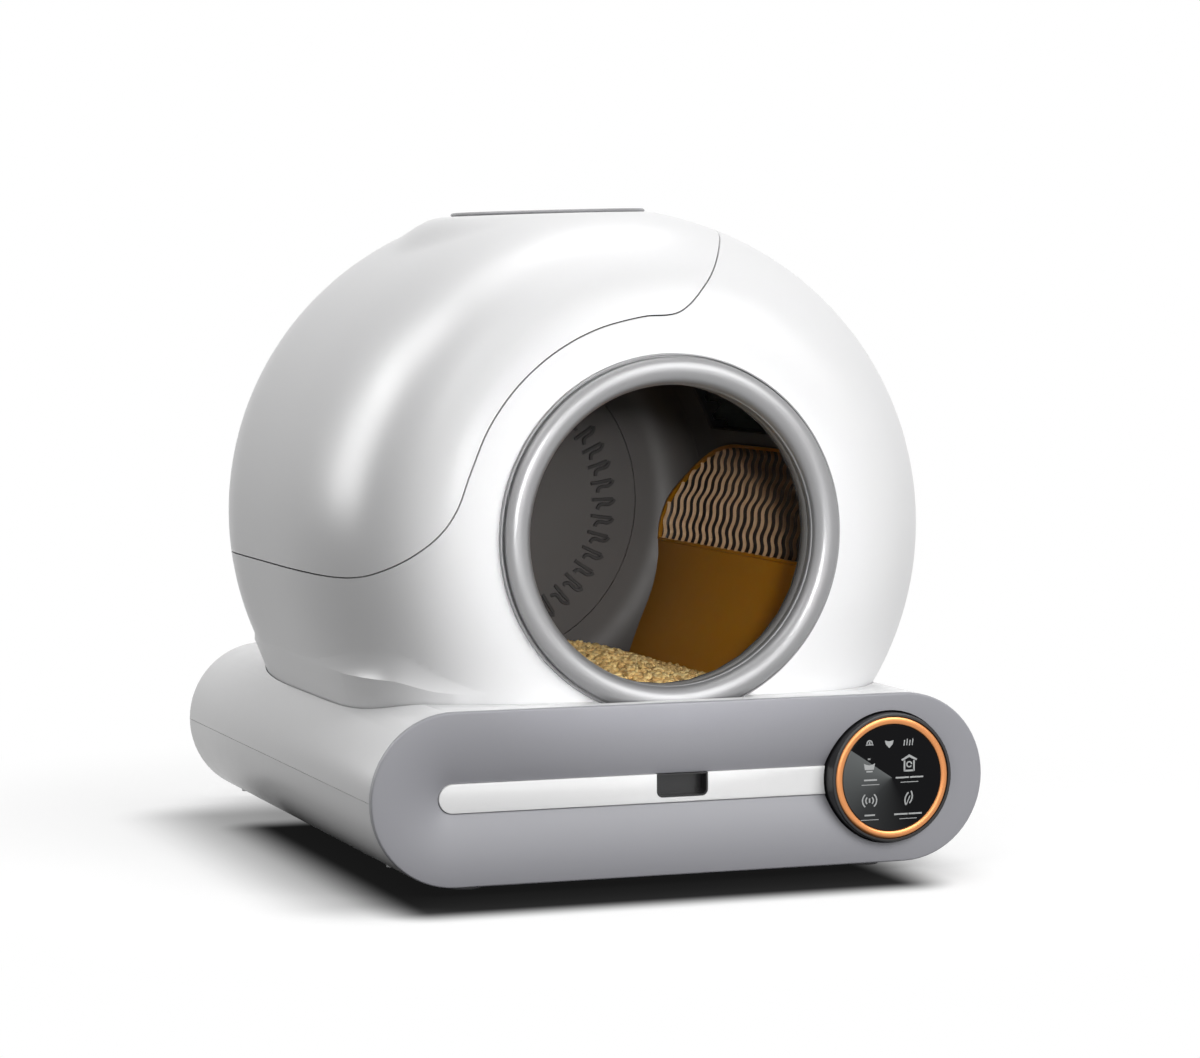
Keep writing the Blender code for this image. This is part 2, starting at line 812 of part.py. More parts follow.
# Gearbox and motor behind the bracket
gearbox_radius = 0.0185
gearbox_length = 0.024
motor_radius = 0.0165
motor_length = 0.048
shaft_play = 0.0004
gearbox_profile = [
    (shaft_radius + shaft_play, 0),
    (gearbox_radius, 0),
    (gearbox_radius, gearbox_length),
    (0, gearbox_length),
    (0, gearbox_gap + shaft_play),
    (shaft_radius + shaft_play, gearbox_gap + shaft_play),
]
turned("gearbox", gearbox_profile, (pinion_x, gearbox_front, pinion_z), finish("gearbox", steel, 0.35, metallic=1.0), steps=round_steps)
motor_front = gearbox_front + gearbox_length + seat_gap
motor_edge = 0.0015
motor_profile = [
    (0, 0),
    (motor_radius, 0),
    (motor_radius, motor_length - motor_edge),
    (motor_radius - motor_edge, motor_length),
    (0, motor_length),
]
turned("drive_motor", motor_profile, (pinion_x, motor_front, pinion_z), finish("drive_motor", steel, 0.3, metallic=1.0), steps=round_steps)

# Deck: it hangs under the collar, cradles the drum, and holds rollers, motor bracket and the waste chute
deck_thickness = 0.003
chute_half_width = 0.070
chute_front_share = 0.22
chute_gear_gap = 0.022
cradle = drum_solid("cradle", cradle_clearance + cradle_wall)
above_deck = block("above_deck", (-wide, front - wide, deck_top), (wide, back + wide, axis_z + wide))
deck_plate_ring = collar_wall - skirt_clearance
inner_deck = skirt_solid(
    "inner_deck", deck_plate_ring, deck_top - deck_thickness, deck_top, finish("inner_deck", (0.5, 0.5, 0.51), 0.5)
)
join(inner_deck, cradle)
cut(inner_deck, above_deck)

roller_centre_radius = drum_radius + seat_gap + roller_radius
ear_reach = 0.008
roller_rows = (("front", drum_front + roller_front_inset), ("rear", drum_back - roller_back_inset))
roller_sides = (("left", pi - roller_angle), ("right", roller_angle))
ear_gap = roller_width / 2 + 2 * axle_play
for end_name, y in roller_rows:
    for side_name, angle in roller_sides:
        x, z = on_drum(roller_centre_radius, angle)
        for name, near, far in (("a", -ear_gap - ear_thickness, -ear_gap), ("b", ear_gap, ear_gap + ear_thickness)):
            ear = block(
                f"ear_{end_name}_{side_name}_{name}",
                (x - ear_reach, y + near, z - ear_reach),
                (x + ear_reach, y + far, deck_top - deck_thickness / 2),
            )
            join(inner_deck, ear)

bracket_half = 0.012
bracket = block(
    "motor_bracket",
    (pinion_x - bracket_half, bracket_front, pinion_z - bracket_half),
    (pinion_x + bracket_half, bracket_back, deck_top - deck_thickness / 2),
)
join(inner_deck, bracket)

pocket_play = 0.002
cut(inner_deck, drum_solid("cradle_hollow", cradle_clearance))
chute = block(
    "chute",
    (-chute_half_width, drum_front + drum_length * chute_front_share, base_floor),
    (chute_half_width, gear_front - chute_gear_gap, axis_z - drum_radius + chute_half_width / 2),
)
gear_slot_play = 0.004
gear_slot = on_axis(
    "gear_slot", pitch_radius + gear_module + pocket_play, gear_front - gear_slot_play, gear_back + gear_slot_play
)
pinion_slot = rod(
    "pinion_slot",
    pinion_pitch_radius + gear_module + pocket_play,
    (pinion_x, pinion_front - 2 * pinion_overlap, pinion_z),
    (pinion_x, bracket_front, pinion_z),
)
shaft_hole = rod(
    "shaft_hole", shaft_radius + axle_play, (pinion_x, pinion_front, pinion_z), (pinion_x, shaft_back, pinion_z)
)
cut(inner_deck, chute, gear_slot, pinion_slot, shaft_hole)

# Rollers and their axles
roller_rubber = finish("roller", (0.07, 0.07, 0.07), 0.7)
axle_metal = finish("roller_axle", steel, 0.3, metallic=1.0)
roller_edge = 0.0012
for end_name, y in roller_rows:
    for side_name, angle in roller_sides:
        x, z = on_drum(roller_centre_radius, angle)
        label = f"{end_name}_{side_name}"
        half = roller_width / 2
        bore = axle_radius + axle_play
        space = rod(
            f"roller_space_{label}", roller_radius + pocket_play, (x, y - ear_gap, z), (x, y + ear_gap, z)
        )
        axle_end = ear_gap + ear_thickness
        hole = rod(
            f"axle_hole_{label}", axle_radius + axle_play, (x, y - axle_end - overrun, z), (x, y + axle_end + overrun, z)
        )
        cut(inner_deck, space, hole)
        profile = [
            (bore, -half),
            (roller_radius - roller_edge, -half),
            (roller_radius, -half + roller_edge),
            (roller_radius, half - roller_edge),
            (roller_radius - roller_edge, half),
            (bore, half),
        ]
        turned(f"roller_{label}", profile, (x, y, z), roller_rubber, steps=round_steps)
        rod(f"roller_axle_{label}", axle_radius, (x, y - axle_end, z), (x, y + axle_end, z), axle_metal, sides=bore_steps)

# Scoop and sieve: one curved partition that runs along the drum, plain below and barred above
partition_thickness = 0.0025
scoop_shares = [(0.610, -0.790), (0.667, -0.725), (0.740, -0.588), (0.814, -0.426), (0.848, -0.289), (0.853, -0.196)]
sieve_shares = [(0.853, -0.196), (0.863, -0.103), (0.888, 0.010), (0.930, 0.110), (0.955, 0.200), (0.958, 0.285)]
inner_radius = drum_radius - drum_wall


def partition_line(shares, steps=3):
    return smooth_curve([Vector((x, z)) * inner_radius for x, z in shares], steps)


def partition_sheet(name, line, thickness, material=None):
    """A curved sheet that runs the whole length of the drum."""
    outline = offset_curve(line, thickness / 2) + offset_curve(line, -thickness / 2)[::-1]
    outline = [(point.x, axis_z + point.y) for point in outline]
    return prism_y(name, outline, drum_front - overrun, drum_back + overrun, material)


disc_clearance = rib_rise + seat_gap
drum_space = drum_solid("drum_space", -drum_wall - seat_gap)
amber = finish("scoop", (0.42, 0.20, 0.02), 0.35)
scoop_line = partition_line(scoop_shares)
scoop = partition_sheet("scoop", scoop_line, partition_thickness, amber)
trim(scoop, drum_space)
joint_low = block(
    "joint_low",
    (0, front, axis_z + scoop_line[-1].y - seat_gap),
    (wide, back, axis_z + wide),
)
cut(scoop, joint_low)

sieve_thickness = 0.004
frame_border = 0.007
bar_count = 20
bar_thickness = 0.0022
bar_wave = 0.0045
bar_depth_share = 0.4
sieve_line = partition_line(sieve_shares)
sieve = partition_sheet("sieve", sieve_line, sieve_thickness, finish("sieve", (0.20, 0.09, 0.03), 0.4))
sieve_low = axis_z + sieve_line[0].y
sieve_high = axis_z + sieve_line[-1].y
sieve_front = drum_front + drum_length * drum_nose_share
sieve_back = drum_back - drum_wall - seat_gap
sieve_corner = 0.050


def sieve_window(name, inset, depth):
    """The sieve's outline seen from the side, with its upper corners rounded, run along X."""
    low, high = sieve_low + inset, sieve_high - inset
    near, far = sieve_front + inset, sieve_back - inset
    radius = sieve_corner - inset
    points = [(near, low), (far, low)]
    for start, y, z in ((0, far - radius, high - radius), (pi / 2, near + radius, high - radius)):
        for i in range(6):
            angle = start + pi / 2 * i / 5
            points.append((y + radius * cos(angle), z + radius * sin(angle)))
    return loft(name, [[(x, y, z) for y, z in points] for x in (inner_radius / 2, inner_radius + depth)])


trim(sieve, sieve_window("sieve_outline", seat_gap, overrun))
cut(sieve, sieve_window("sieve_opening", frame_border, overrun))
bar_line = partition_line(sieve_shares, 2)[1:]
bars = bmesh.new()
bar_pitch = (sieve_back - sieve_front - 2 * frame_border) / bar_count
for i in range(bar_count):
    y = sieve_front + frame_border + bar_pitch * (i + 0.5)
    bar_depth = sieve_thickness * bar_depth_share
    sides = zip(offset_curve(bar_line, bar_depth), offset_curve(bar_line, -bar_depth))
    rows = []
    for k, (left, right) in enumerate(sides):
        wave = bar_wave * (-1) ** k / 2
        corners = ((left, -1), (left, 1), (right, 1), (right, -1))
        rows.append(
            [bars.verts.new((p.x, y + wave + s * bar_thickness / 2, axis_z + p.y)) for p, s in corners]
        )
    for low, high in zip(rows, rows[1:]):
        for a in range(4):
            b = (a + 1) % 4
            bars.faces.new((low[a], low[b], high[b], high[a]))
    bars.faces.new(rows[0][::-1])
    bars.faces.new(rows[-1])
bmesh.ops.recalc_face_normals(bars, faces=bars.faces)
sieve_bars = from_bmesh("sieve_bars", bars, None)
trim(sieve_bars, sieve_window("bar_outline", frame_border / 2, overrun))
join(sieve, sieve_bars)
trim(sieve, drum_space)

# Litter, as one heap that fills the drum's bottom left of the scoop
litter_shares = [(-1.05, -0.715), (-0.60, -0.690), (-0.20, -0.672), (0.15, -0.680), (0.42, -0.715), (0.585, -0.765)]
litter_gap = 0.001
heap = [(x * inner_radius, axis_z + z * inner_radius) for x, z in litter_shares]
foot_x = heap[-1][0]
heap += [(foot_x, axis_z - inner_radius - overrun), (heap[0][0], axis_z - inner_radius - overrun)]
litter = prism_y(
    "litter_bed", heap[::-1], drum_front - overrun, drum_back + overrun, finish("litter_bed", (0.72, 0.55, 0.33), 0.9)
)
trim(litter, drum_solid("litter_space", -drum_wall - litter_gap))
cut(litter, block("rib_room", (-wide, drum_back - drum_wall - rib_rise - litter_gap, 0), (wide, back, base_top)))

# Hood: one turned shell with a flared foot, cut in two along an S-shaped seam


skirt_outside = flared_skirt("skirt_outside", 0)
skirt_inside = flared_skirt("skirt_inside", hood_wall)
below_hood = block("below_hood", (-wide, front - wide, -wide), (wide, back + wide, skirt_foot))
hood_hollow = hood_solid("hood_hollow", hood_wall)
ring_hole_radius = ring_inner_radius + neck_wall + seat_gap
foot_bore = on_axis("foot_bore", ring_hole_radius + seat_gap, hood_front - overrun, neck_back)
cut(skirt_outside, foot_bore)


# The seam rises from the left side, follows the entrance ring, and leaves for the crown at the right
seam_ring_radius = 0.179
seam_left_shares = [(-1.25, -0.095), (-1.08, -0.112), (-0.94, -0.126), (-0.845, -0.085), (-0.735, 0.000), (-0.672, 0.085)]
seam_arc_start = radians(163)
seam_arc_end = radians(98)
seam_right_shares = [(0.030, 0.668), (0.130, 0.755), (0.232, 0.868), (0.345, 0.944)]
hinge_x = seam_right_shares[-1][0] * hood_radius
hinge_z = axis_z + sqrt(hood_radius**2 - hinge_x**2)


def seam_curve():
    left = [Vector(point) * hood_radius for point in seam_left_shares]
    right = [Vector(point) * hood_radius for point in seam_right_shares]
    right[-1] = Vector((hinge_x, hinge_z - axis_z))
    arc = []
    steps = 5
    for i in range(steps + 1):
        angle = seam_arc_start + (seam_arc_end - seam_arc_start) * i / steps
        arc.append(Vector((cos(angle), sin(angle))) * seam_ring_radius)
    return smooth_curve(left + arc + right, 3)


def seam_block(name, shift):
    """Everything above and left of the seam, moved off it by a distance, through the whole hood."""
    line = offset_curve(seam_curve(), shift)
    top = hood_radius + overrun
    line.append(Vector((line[-1].x, top)))
    corners = [Vector((line[0].x, top))]
    outline = [(point.x, axis_z + point.y) for point in line + corners]
    return prism_y(name, outline, hood_front - overrun, hood_back + overrun)


# Hinge: two barrels half sunk in the crown, on the seam's upper end
knuckle_radius = 0.0045
knuckle_play = 0.0006
knuckle_length = 0.012
hinge_pin_radius = 0.0016
hinge_places_shares = (0.44, 0.68)
hinge_middles = [hood_front + hood_depth * share for share in hinge_places_shares]

hood_white = finish("hood_body", white, 0.2)
hood_body = hood_solid("hood_body", 0, hood_white, bore=ring_hole_radius)
join(hood_body, skirt_outside)
cut(hood_body, below_hood, hood_hollow, skirt_inside, seam_block("lid_room", -seam_gap / 2))

hood_lid = hood_solid("hood_lid", 0, finish("hood_lid", white, 0.18), bore=ring_hole_radius)

# The lid's crown is flat under the filter cap, and a low pad carries the cap's sides. Heights are over the axis
cap_radius = 0.0855
cap_turn = radians(1.6)
pad_margin = 0.003
pad_drop = 0.0066
cap_drop = 0.0026
cap_edge = 0.0016
cap_band_share = 0.235
cap_y = hood_front + hood_front_run + hood_band * cap_band_share
pad_top = hood_radius - pad_drop
pad_radius = cap_radius + pad_margin
pad_ring_shares = [
    (0.7625, 0.95, 0.95, -1.0),
    (1.17, 1.04, 1.2, 0.72),
    (1.33, 1.09, 1.75, 2.1),
    (1.62, 1.136, 1.9, 5.8),
]


def crown_point(across, along, height):
    """A point on the crown, which leans to the left with the cap."""
    x = across * cos(cap_turn) - height * sin(cap_turn)
    return x, along, axis_z + across * sin(cap_turn) + height * cos(cap_turn)


def on_crown(name, profile, material=None, steps=turn_steps):
    """A profile of (radius, height over the axis) turned about the cap's leaning middle line."""
    obj = turned(name, profile, (0, cap_y, axis_z), material, steps, upright=True)
    obj.rotation_euler = (0, -cap_turn, 0)
    return obj


def above_crown(name, height):
    """Everything above a height over the axis, at the cap's lean."""
    peak = hood_radius + overrun
    return on_crown(name, [(0, height), (hood_radius, height), (hood_radius, peak), (0, peak)])


pad_rings = []
for left, right, length, drop in pad_ring_shares:
    middle, radius, half = pad_radius * (right - left) / 2, pad_radius * (right + left) / 2, pad_radius * length
    angles = [2 * pi * (i + 0.5) / turn_steps for i in range(turn_steps)]
    height = pad_top - pad_drop * drop
    pad_rings.append(
        [crown_point(middle + radius * cos(angle), cap_y + half * sin(angle), height) for angle in angles]
    )
join(hood_lid, loft("pad", pad_rings))
lid_hollow = hood_solid("lid_hollow", hood_wall)
cut(lid_hollow, above_crown("crown_room", pad_top - hood_wall))
cut(hood_lid, above_crown("crown_cut", pad_top), lid_hollow)
trim(hood_lid, seam_block("lid_side", seam_gap / 2))


def hinge_rod(name, radius, low, high, material=None, sides=round_steps):
    return rod(name, radius, (hinge_x, low, hinge_z), (hinge_x, high, hinge_z), material, sides)


for i, middle in enumerate(hinge_middles):
    low, high = middle - knuckle_length / 2, middle + knuckle_length / 2
    play = knuckle_play
    first, last = low - play - knuckle_length, high + play + knuckle_length
    room_radius = knuckle_radius + play
    cut(
        hood_body,
        hinge_rod(f"near_room_{i}", room_radius, first - play, low - play / 2),
        hinge_rod(f"far_room_{i}", room_radius, high + play / 2, last + play),
    )
    join(hood_body, hinge_rod(f"body_knuckle_{i}", knuckle_radius, low, high))
    cut(hood_lid, hinge_rod(f"body_room_{i}", room_radius, low - play / 2, high + play / 2))
    join(
        hood_lid,
        hinge_rod(f"near_knuckle_{i}", knuckle_radius, first, low - play),
        hinge_rod(f"far_knuckle_{i}", knuckle_radius, high + play, last),
    )
    bore = hinge_rod(f"hinge_bore_{i}", hinge_pin_radius + seat_gap, first - overrun, last + overrun, sides=bore_steps)
    cut(hood_body, bore)
    cut(hood_lid, bore)
    end_name = "rear" if i else "front"
    hinge_rod(f"hinge_pin_{end_name}", hinge_pin_radius, first, last, axle_metal, sides=bore_steps)

# Filter cap on the lid, with the filter pad in the hole under it
filter_radius = 0.060
filter_play = 0.001
filter_height = 0.010
cap_top = hood_radius - cap_drop
cap_bottom = pad_top + seat_gap
cap_recess = 0.0015
hole_ends = [crown_point(0, cap_y, pad_top - filter_height - overrun), crown_point(0, cap_y, cap_top)]
cut(hood_lid, rod("filter_hole", filter_radius + filter_play, *hole_ends, sides=disc_steps))
cap_profile = [
    (0, cap_bottom),
    (cap_radius - cap_edge / 2, cap_bottom),
    (cap_radius, cap_bottom + cap_edge),
    (cap_radius - cap_edge, cap_top),
    (0, cap_top),
]
on_crown("filter_cap", cap_profile, finish("filter_cap", (0.42, 0.42, 0.43), 0.4), disc_steps)
filter_top = cap_bottom - seat_gap
filter_profile = [
    (0, filter_top - filter_height),
    (filter_radius, filter_top - filter_height),
    (filter_radius, filter_top),
    (0, filter_top),
]
on_crown("odour_filter", filter_profile, finish("odour_filter", (0.05, 0.05, 0.05), 0.9), round_steps)

# Entrance ring: a round bead with a neck that passes through the hood
bead_steps = 6
bead_middle = (ring_outer_radius + ring_inner_radius) / 2
bead_half = (ring_outer_radius - ring_inner_radius) / 2
ring_profile = [(ring_outer_radius, -seat_gap)]
for i in range(1, bead_steps):
    angle = pi * i / bead_steps
    ring_profile.append((bead_middle + bead_half * cos(angle), -seat_gap - ring_proud * sin(angle)))
ring_profile += [
    (ring_inner_radius, -seat_gap),
    (ring_inner_radius, neck_depth),
    (ring_inner_radius + neck_wall, neck_depth),
    (ring_inner_radius + neck_wall, -seat_gap),
]
turned("entrance_ring", ring_profile, (0, hood_front, axis_z), finish("entrance_ring", (0.62, 0.62, 0.64), 0.3, metallic=0.6))
seal_inner = ring_inner_radius + seat_gap
seal_outer = drum_mouth_radius
seal_profile = [
    (seal_inner, seat_gap),
    (seal_outer, seat_gap),
    (seal_outer, seal_thickness),
    (seal_inner, seal_thickness),
]
turned("mouth_seal", seal_profile, (0, neck_back, axis_z), finish("mouth_seal", (0.03, 0.03, 0.03), 0.95))


# Drawer front: a dished pill with a long slot, moulded as a shell with a rim behind it

dish_steps = 4
dish_power = 2.1
rim_radius = end_radius - dish_rim
boss_radius = end_radius - boss_inset
front_rings = [
    (boss_radius - boss_wall, front + slot_floor_depth + drawer_floor),
    (boss_radius - boss_wall, front + boss_depth),
    (boss_radius, front + boss_depth),
    (boss_radius, front + plate_thickness),
    (end_radius, front + plate_thickness),
    (end_radius, front + front_edge),
    (end_radius - front_edge * back_step_share, front + front_edge * back_step_share),
    (end_radius - front_edge, front),
]
for i in range(dish_steps + 1):
    share = i / dish_steps
    radius = rim_radius + (slot_radius - rim_radius) * share
    front_rings.append((radius, front + dish_depth * share**dish_power))
front_rings.append((slot_radius, front + slot_floor_depth))
drawer_front = pill_solid("drawer_front", front_rings, finish("drawer_front", (0.34, 0.34, 0.37), 0.45))
control_z = base_mid + control_rise
control_hole = rod(
    "control_hole",
    control_radius + control_hole_play,
    (control_x, front - overrun, control_z),
    (control_x, front + boss_depth + overrun, control_z),
    sides=disc_steps,
)
relief_front = notch_front - base_wall - boss_play
notch_relief = on_axis(
    "notch_relief", notch_radius + base_wall + boss_play, relief_front, front + boss_depth + overrun
)
cut(drawer_front, control_hole, notch_relief)

pull_top = base_mid + slot_radius - strip_play
pull_bottom = pull_top - pull_height
pull_back = front + strip_sunk + pull_depth
pull_hole = block(
    "pull_hole",
    (-pull_width / 2 - strip_play, front - overrun, pull_bottom - strip_play),
    (pull_width / 2 + strip_play, pull_back + overrun, pull_top + strip_play + overrun),
)
pull_wall_hole = block(
    "pull_wall_hole",
    (-pull_width / 2 - strip_play, front + strip_sunk, pull_bottom - strip_play),
    (pull_width / 2 + strip_play, pull_back + overrun, pull_top + strip_play),
)
cut(drawer_front, pull_wall_hole)
strip_rings = [
    (slot_radius - strip_play, front + slot_floor_depth - seat_gap),
    (slot_radius - strip_play, front + strip_sunk + front_edge / 2),
    (slot_radius - strip_play - front_edge / 2, front + strip_sunk),
]
drawer_strip = pill_solid("drawer_strip", strip_rings, finish("drawer_strip", (0.85, 0.85, 0.85), 0.3))
cut(drawer_strip, control_hole, pull_hole)

finger_pull = block(
    "finger_pull",
    (-pull_width / 2, front + strip_sunk, pull_bottom),
    (pull_width / 2, pull_back, pull_top),
    finish("finger_pull", (0.012, 0.012, 0.013), 0.35),
)
cut(
    finger_pull,
    block(
        "pull_hollow",
        (-pull_width / 2 + pull_wall, front - overrun, pull_bottom + pull_wall),
        (pull_width / 2 - pull_wall, pull_back - pull_wall, pull_top - pull_wall),
    ),
)

# Waste tray behind the drawer front
tray_top = axis_z - drum_radius - cradle_clearance - cradle_wall - tray_headroom


def tray_ring(inset, z):
    return rounded_rectangle(
        -tray_left + inset, tray_right - inset, tray_front + inset, tray_back - inset, tray_corner - inset, z
    )


tray_rings = [
    tray_ring(tray_draft, tray_bottom),
    tray_ring(tray_lip, tray_top - tray_lip),
    tray_ring(0, tray_top - tray_lip),
    tray_ring(0, tray_top),
    tray_ring(tray_lip + tray_wall, tray_top),
    tray_ring(tray_draft + tray_wall, tray_bottom + tray_wall),
]
loft("drawer_tray", tray_rings, finish("drawer_tray", (0.55, 0.55, 0.56), 0.45))

# Control disc: a black cup on a pedestal, which stands on the base and fills the hole in the drawer front
control_front = front - control_proud
control_back = control_front + control_depth
glass_seat = glass_thickness + trim_proud + 2 * seat_gap
board_thickness = 0.0016
control_edge = 0.0012
control_profile = [
    (control_radius - control_edge, 0),
    (control_radius, control_edge),
    (control_radius, control_depth),
    (0, control_depth),
    (0, control_depth - control_wall),
    (trim_inner - control_wall, control_depth - control_wall),
    (trim_inner - control_wall, glass_seat),
    (trim_outer + seat_gap, glass_seat),
    (trim_outer + seat_gap, 0),
]
control_black = finish("control_housing", (0.012, 0.012, 0.013), 0.3)
control_housing = turned("control_housing", control_profile, (control_x, control_front, control_z), control_black, steps=disc_steps)
pedestal_half = 0.013
pedestal_front = front + boss_depth + seat_gap
pedestal = block(
    "pedestal",
    (control_x - pedestal_half, pedestal_front, base_floor + seat_gap),
    (control_x + pedestal_half, control_back, control_z - control_radius / 2),
)
join(control_housing, pedestal)
trim_profile = [
    (trim_inner + seat_gap, glass_seat - seat_gap),
    (trim_inner + seat_gap, trim_proud),
    (trim_inner + 2 * trim_proud, 0),
    (trim_outer - 2 * trim_proud, 0),
    (trim_outer, trim_proud),
    (trim_outer, glass_seat - seat_gap),
]
control_place = (control_x, control_front, control_z)
turned("control_trim", trim_profile, control_place, finish("control_trim", (0.72, 0.33, 0.14), 0.28, metallic=0.7), steps=disc_steps)
glass_back = glass_seat - seat_gap
glass_profile = [(0, trim_proud), (trim_inner, trim_proud), (trim_inner, glass_back), (0, glass_back)]
turned("control_glass", glass_profile, control_place, finish("control_glass", (0.006, 0.006, 0.007), 0.06), steps=disc_steps)
board_radius = trim_inner - control_wall - seat_gap
board_profile = [
    (0, glass_seat),
    (board_radius, glass_seat),
    (board_radius, glass_seat + board_thickness),
    (0, glass_seat + board_thickness),
]
board_green = (0.02, 0.12, 0.06)
turned("touch_board", board_profile, control_place, finish("touch_board", board_green, 0.5), steps=disc_steps)

# Main board on four floor pegs, right of the drawer
main_length = 0.110
main_width = 0.070
main_peg = 0.006
main_peg_radius = 0.003
main_peg_inset = 0.008
main_front = control_back + main_width / 2
main_left = tray_right + main_peg
main_low = base_floor + main_peg
main_board = block(
    "main_board",
    (main_left, main_front, main_low + seat_gap),
    (main_left + main_width, main_front + main_length, main_low + seat_gap + board_thickness),
    finish("main_board", board_green, 0.5),
)
chip_shares = ((0.15, 0.15, 0.30, 0.30, 3.0), (0.55, 0.20, 0.30, 0.20, 6.0), (0.20, 0.60, 0.55, 0.22, 7.0))
for i, (across, along, wide_share, long_share, height) in enumerate(chip_shares):
    chip_x = main_left + main_width * across
    chip_y = main_front + main_length * along
    chip = block(
        f"chip_{i}",
        (chip_x, chip_y, main_low + board_thickness / 2),
        (chip_x + main_width * wide_share, chip_y + main_length * long_share, main_low + board_thickness * (1 + height)),
    )
    join(main_board, chip)
for x in (main_left + main_peg_inset, main_left + main_width - main_peg_inset):
    for y in (main_front + main_peg_inset, main_front + main_length - main_peg_inset):
        peg = rod(f"peg_{x:.3f}_{y:.3f}", main_peg_radius, (x, y, base_floor - base_wall / 2), (x, y, main_low), sides=bore_steps)
        join(base_lower, peg)

# Power inlet in the back wall, flush in a shallow recess
inlet_side_inset = 0.045
inlet_drop = 0.032
inlet_flange = 0.0085
inlet_radius = 0.0062
inlet_bore = 0.0034
inlet_length = 0.016
inlet_pin = 0.0010
inlet_recess = 0.0014
inlet_floor = 0.0120
inlet_x = end_offset - inlet_side_inset
inlet_z = base_mid - inlet_drop
recess_bore = rod(
    "inlet_recess",
    inlet_flange + seat_gap,
    (inlet_x, back - inlet_recess, inlet_z),
    (inlet_x, back + overrun, inlet_z),
)
inlet_hole = rod(
    "inlet_hole",
    inlet_radius + seat_gap,
    (inlet_x, back - inlet_length, inlet_z),
    (inlet_x, back + overrun, inlet_z),
)
cut(base_lower, recess_bore, inlet_hole)
inlet_profile = [
    (0, -inlet_length),
    (inlet_radius, -inlet_length),
    (inlet_radius, -inlet_recess + seat_gap),
    (inlet_flange, -inlet_recess + seat_gap),
    (inlet_flange, 0),
    (inlet_bore, 0),
    (inlet_bore, -inlet_floor),
    (inlet_pin, -inlet_floor),
    (inlet_pin, -inlet_recess),
    (0, -inlet_recess),
]
turned("power_inlet", inlet_profile, (inlet_x, back, inlet_z), finish("power_inlet", (0.02, 0.02, 0.02), 0.4), steps=round_steps)
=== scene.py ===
import random
from math import cos, pi, radians, sin, sqrt

import bmesh
import bpy
from mathutils import Matrix, Vector


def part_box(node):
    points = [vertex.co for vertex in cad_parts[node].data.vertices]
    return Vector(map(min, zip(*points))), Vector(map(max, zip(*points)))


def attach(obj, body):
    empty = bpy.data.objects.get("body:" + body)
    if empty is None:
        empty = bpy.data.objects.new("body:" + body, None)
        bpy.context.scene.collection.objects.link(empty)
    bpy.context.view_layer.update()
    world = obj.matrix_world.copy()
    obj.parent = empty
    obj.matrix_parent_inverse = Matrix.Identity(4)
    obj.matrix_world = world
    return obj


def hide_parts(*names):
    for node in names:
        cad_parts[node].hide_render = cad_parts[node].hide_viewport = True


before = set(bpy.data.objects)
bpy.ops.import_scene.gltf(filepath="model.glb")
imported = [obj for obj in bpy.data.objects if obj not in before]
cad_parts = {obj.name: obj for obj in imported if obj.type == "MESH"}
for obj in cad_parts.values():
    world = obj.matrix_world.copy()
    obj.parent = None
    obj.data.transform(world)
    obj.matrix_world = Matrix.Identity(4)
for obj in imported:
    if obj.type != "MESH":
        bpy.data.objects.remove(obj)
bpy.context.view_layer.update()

# The studio: a white floor that keeps the shadow and carries a painted shadow around the base, a camera at the
# photograph's angle, and softboxes.
# The camera stands three metres off, left of the front and a little below the crown.
view = bpy.context.scene.view_settings
view.view_transform = "Standard"

camera_lens = bpy.data.cameras.new("camera")
camera_lens.lens = 107.2
camera_lens.sensor_width = 36
camera = bpy.data.objects.new("camera", camera_lens)
camera.location = (-1.0580, -2.9631, 0.4849)
camera_looks = Vector((0.3456, 0.9359, -0.0688))
camera.rotation_euler = camera_looks.to_track_quat("-Z", "Y").to_euler()
bpy.context.collection.objects.link(camera)
bpy.context.scene.camera = camera


def feed(made, inputs):
    """Gives a node's inputs their values, or links them to the outputs that feed them."""
    for socket, value in inputs.items() if isinstance(inputs, dict) else enumerate(inputs):
        if isinstance(value, bpy.types.NodeSocket):
            made.id_data.links.new(value, made.inputs[socket])
        else:
            made.inputs[socket].default_value = value


def node(tree, kind, inputs=(), **settings):
    """A new shader node, with its inputs by name or in their order."""
    made = tree.nodes.new("ShaderNode" + kind)
    for setting, value in settings.items():
        setattr(made, setting, value)
    feed(made, inputs)
    return made


def seen_directly(tree):
    """1 for the rays that see the background itself, 0 for those that gather light."""
    seen_by = node(tree, "LightPath").outputs
    either = node(tree, "Math", (seen_by["Is Camera Ray"], seen_by["Is Glossy Ray"]), operation="MAXIMUM")
    any_ray = node(tree, "Math", (either.outputs[0], seen_by["Is Transmission Ray"]), operation="MAXIMUM")
    return any_ray.outputs[0]


ambient = 0.24
white = (1.0, 1.0, 1.0, 1.0)
world = bpy.data.worlds.new("studio")
bpy.context.scene.world = world
world.use_nodes = True
sky = world.node_tree
lit = sky.nodes["Background"]
feed(lit, {"Color": white, "Strength": ambient})
white_behind = node(sky, "Background", {"Color": white, "Strength": 1.0})
choice = node(sky, "MixShader", (seen_directly(sky), lit.outputs[0], white_behind.outputs[0]))
feed(sky.nodes["World Output"], {"Surface": choice.outputs[0]})

bpy.ops.object.select_all(action="DESELECT")
bpy.ops.mesh.primitive_plane_add(size=30, location=(0, 0, -0.0002))
floor = bpy.context.object
floor.name = floor.data.name = "studio_floor"
floor_paint = bpy.data.materials.new("studio_floor")
floor_paint.use_nodes = True
paint = floor_paint.node_tree
floor_place = node(paint, "TexCoord").outputs["Object"]


def floor_math(operation, *values):
    return node(paint, "Math", values, operation=operation).outputs[0]


any_height = 9


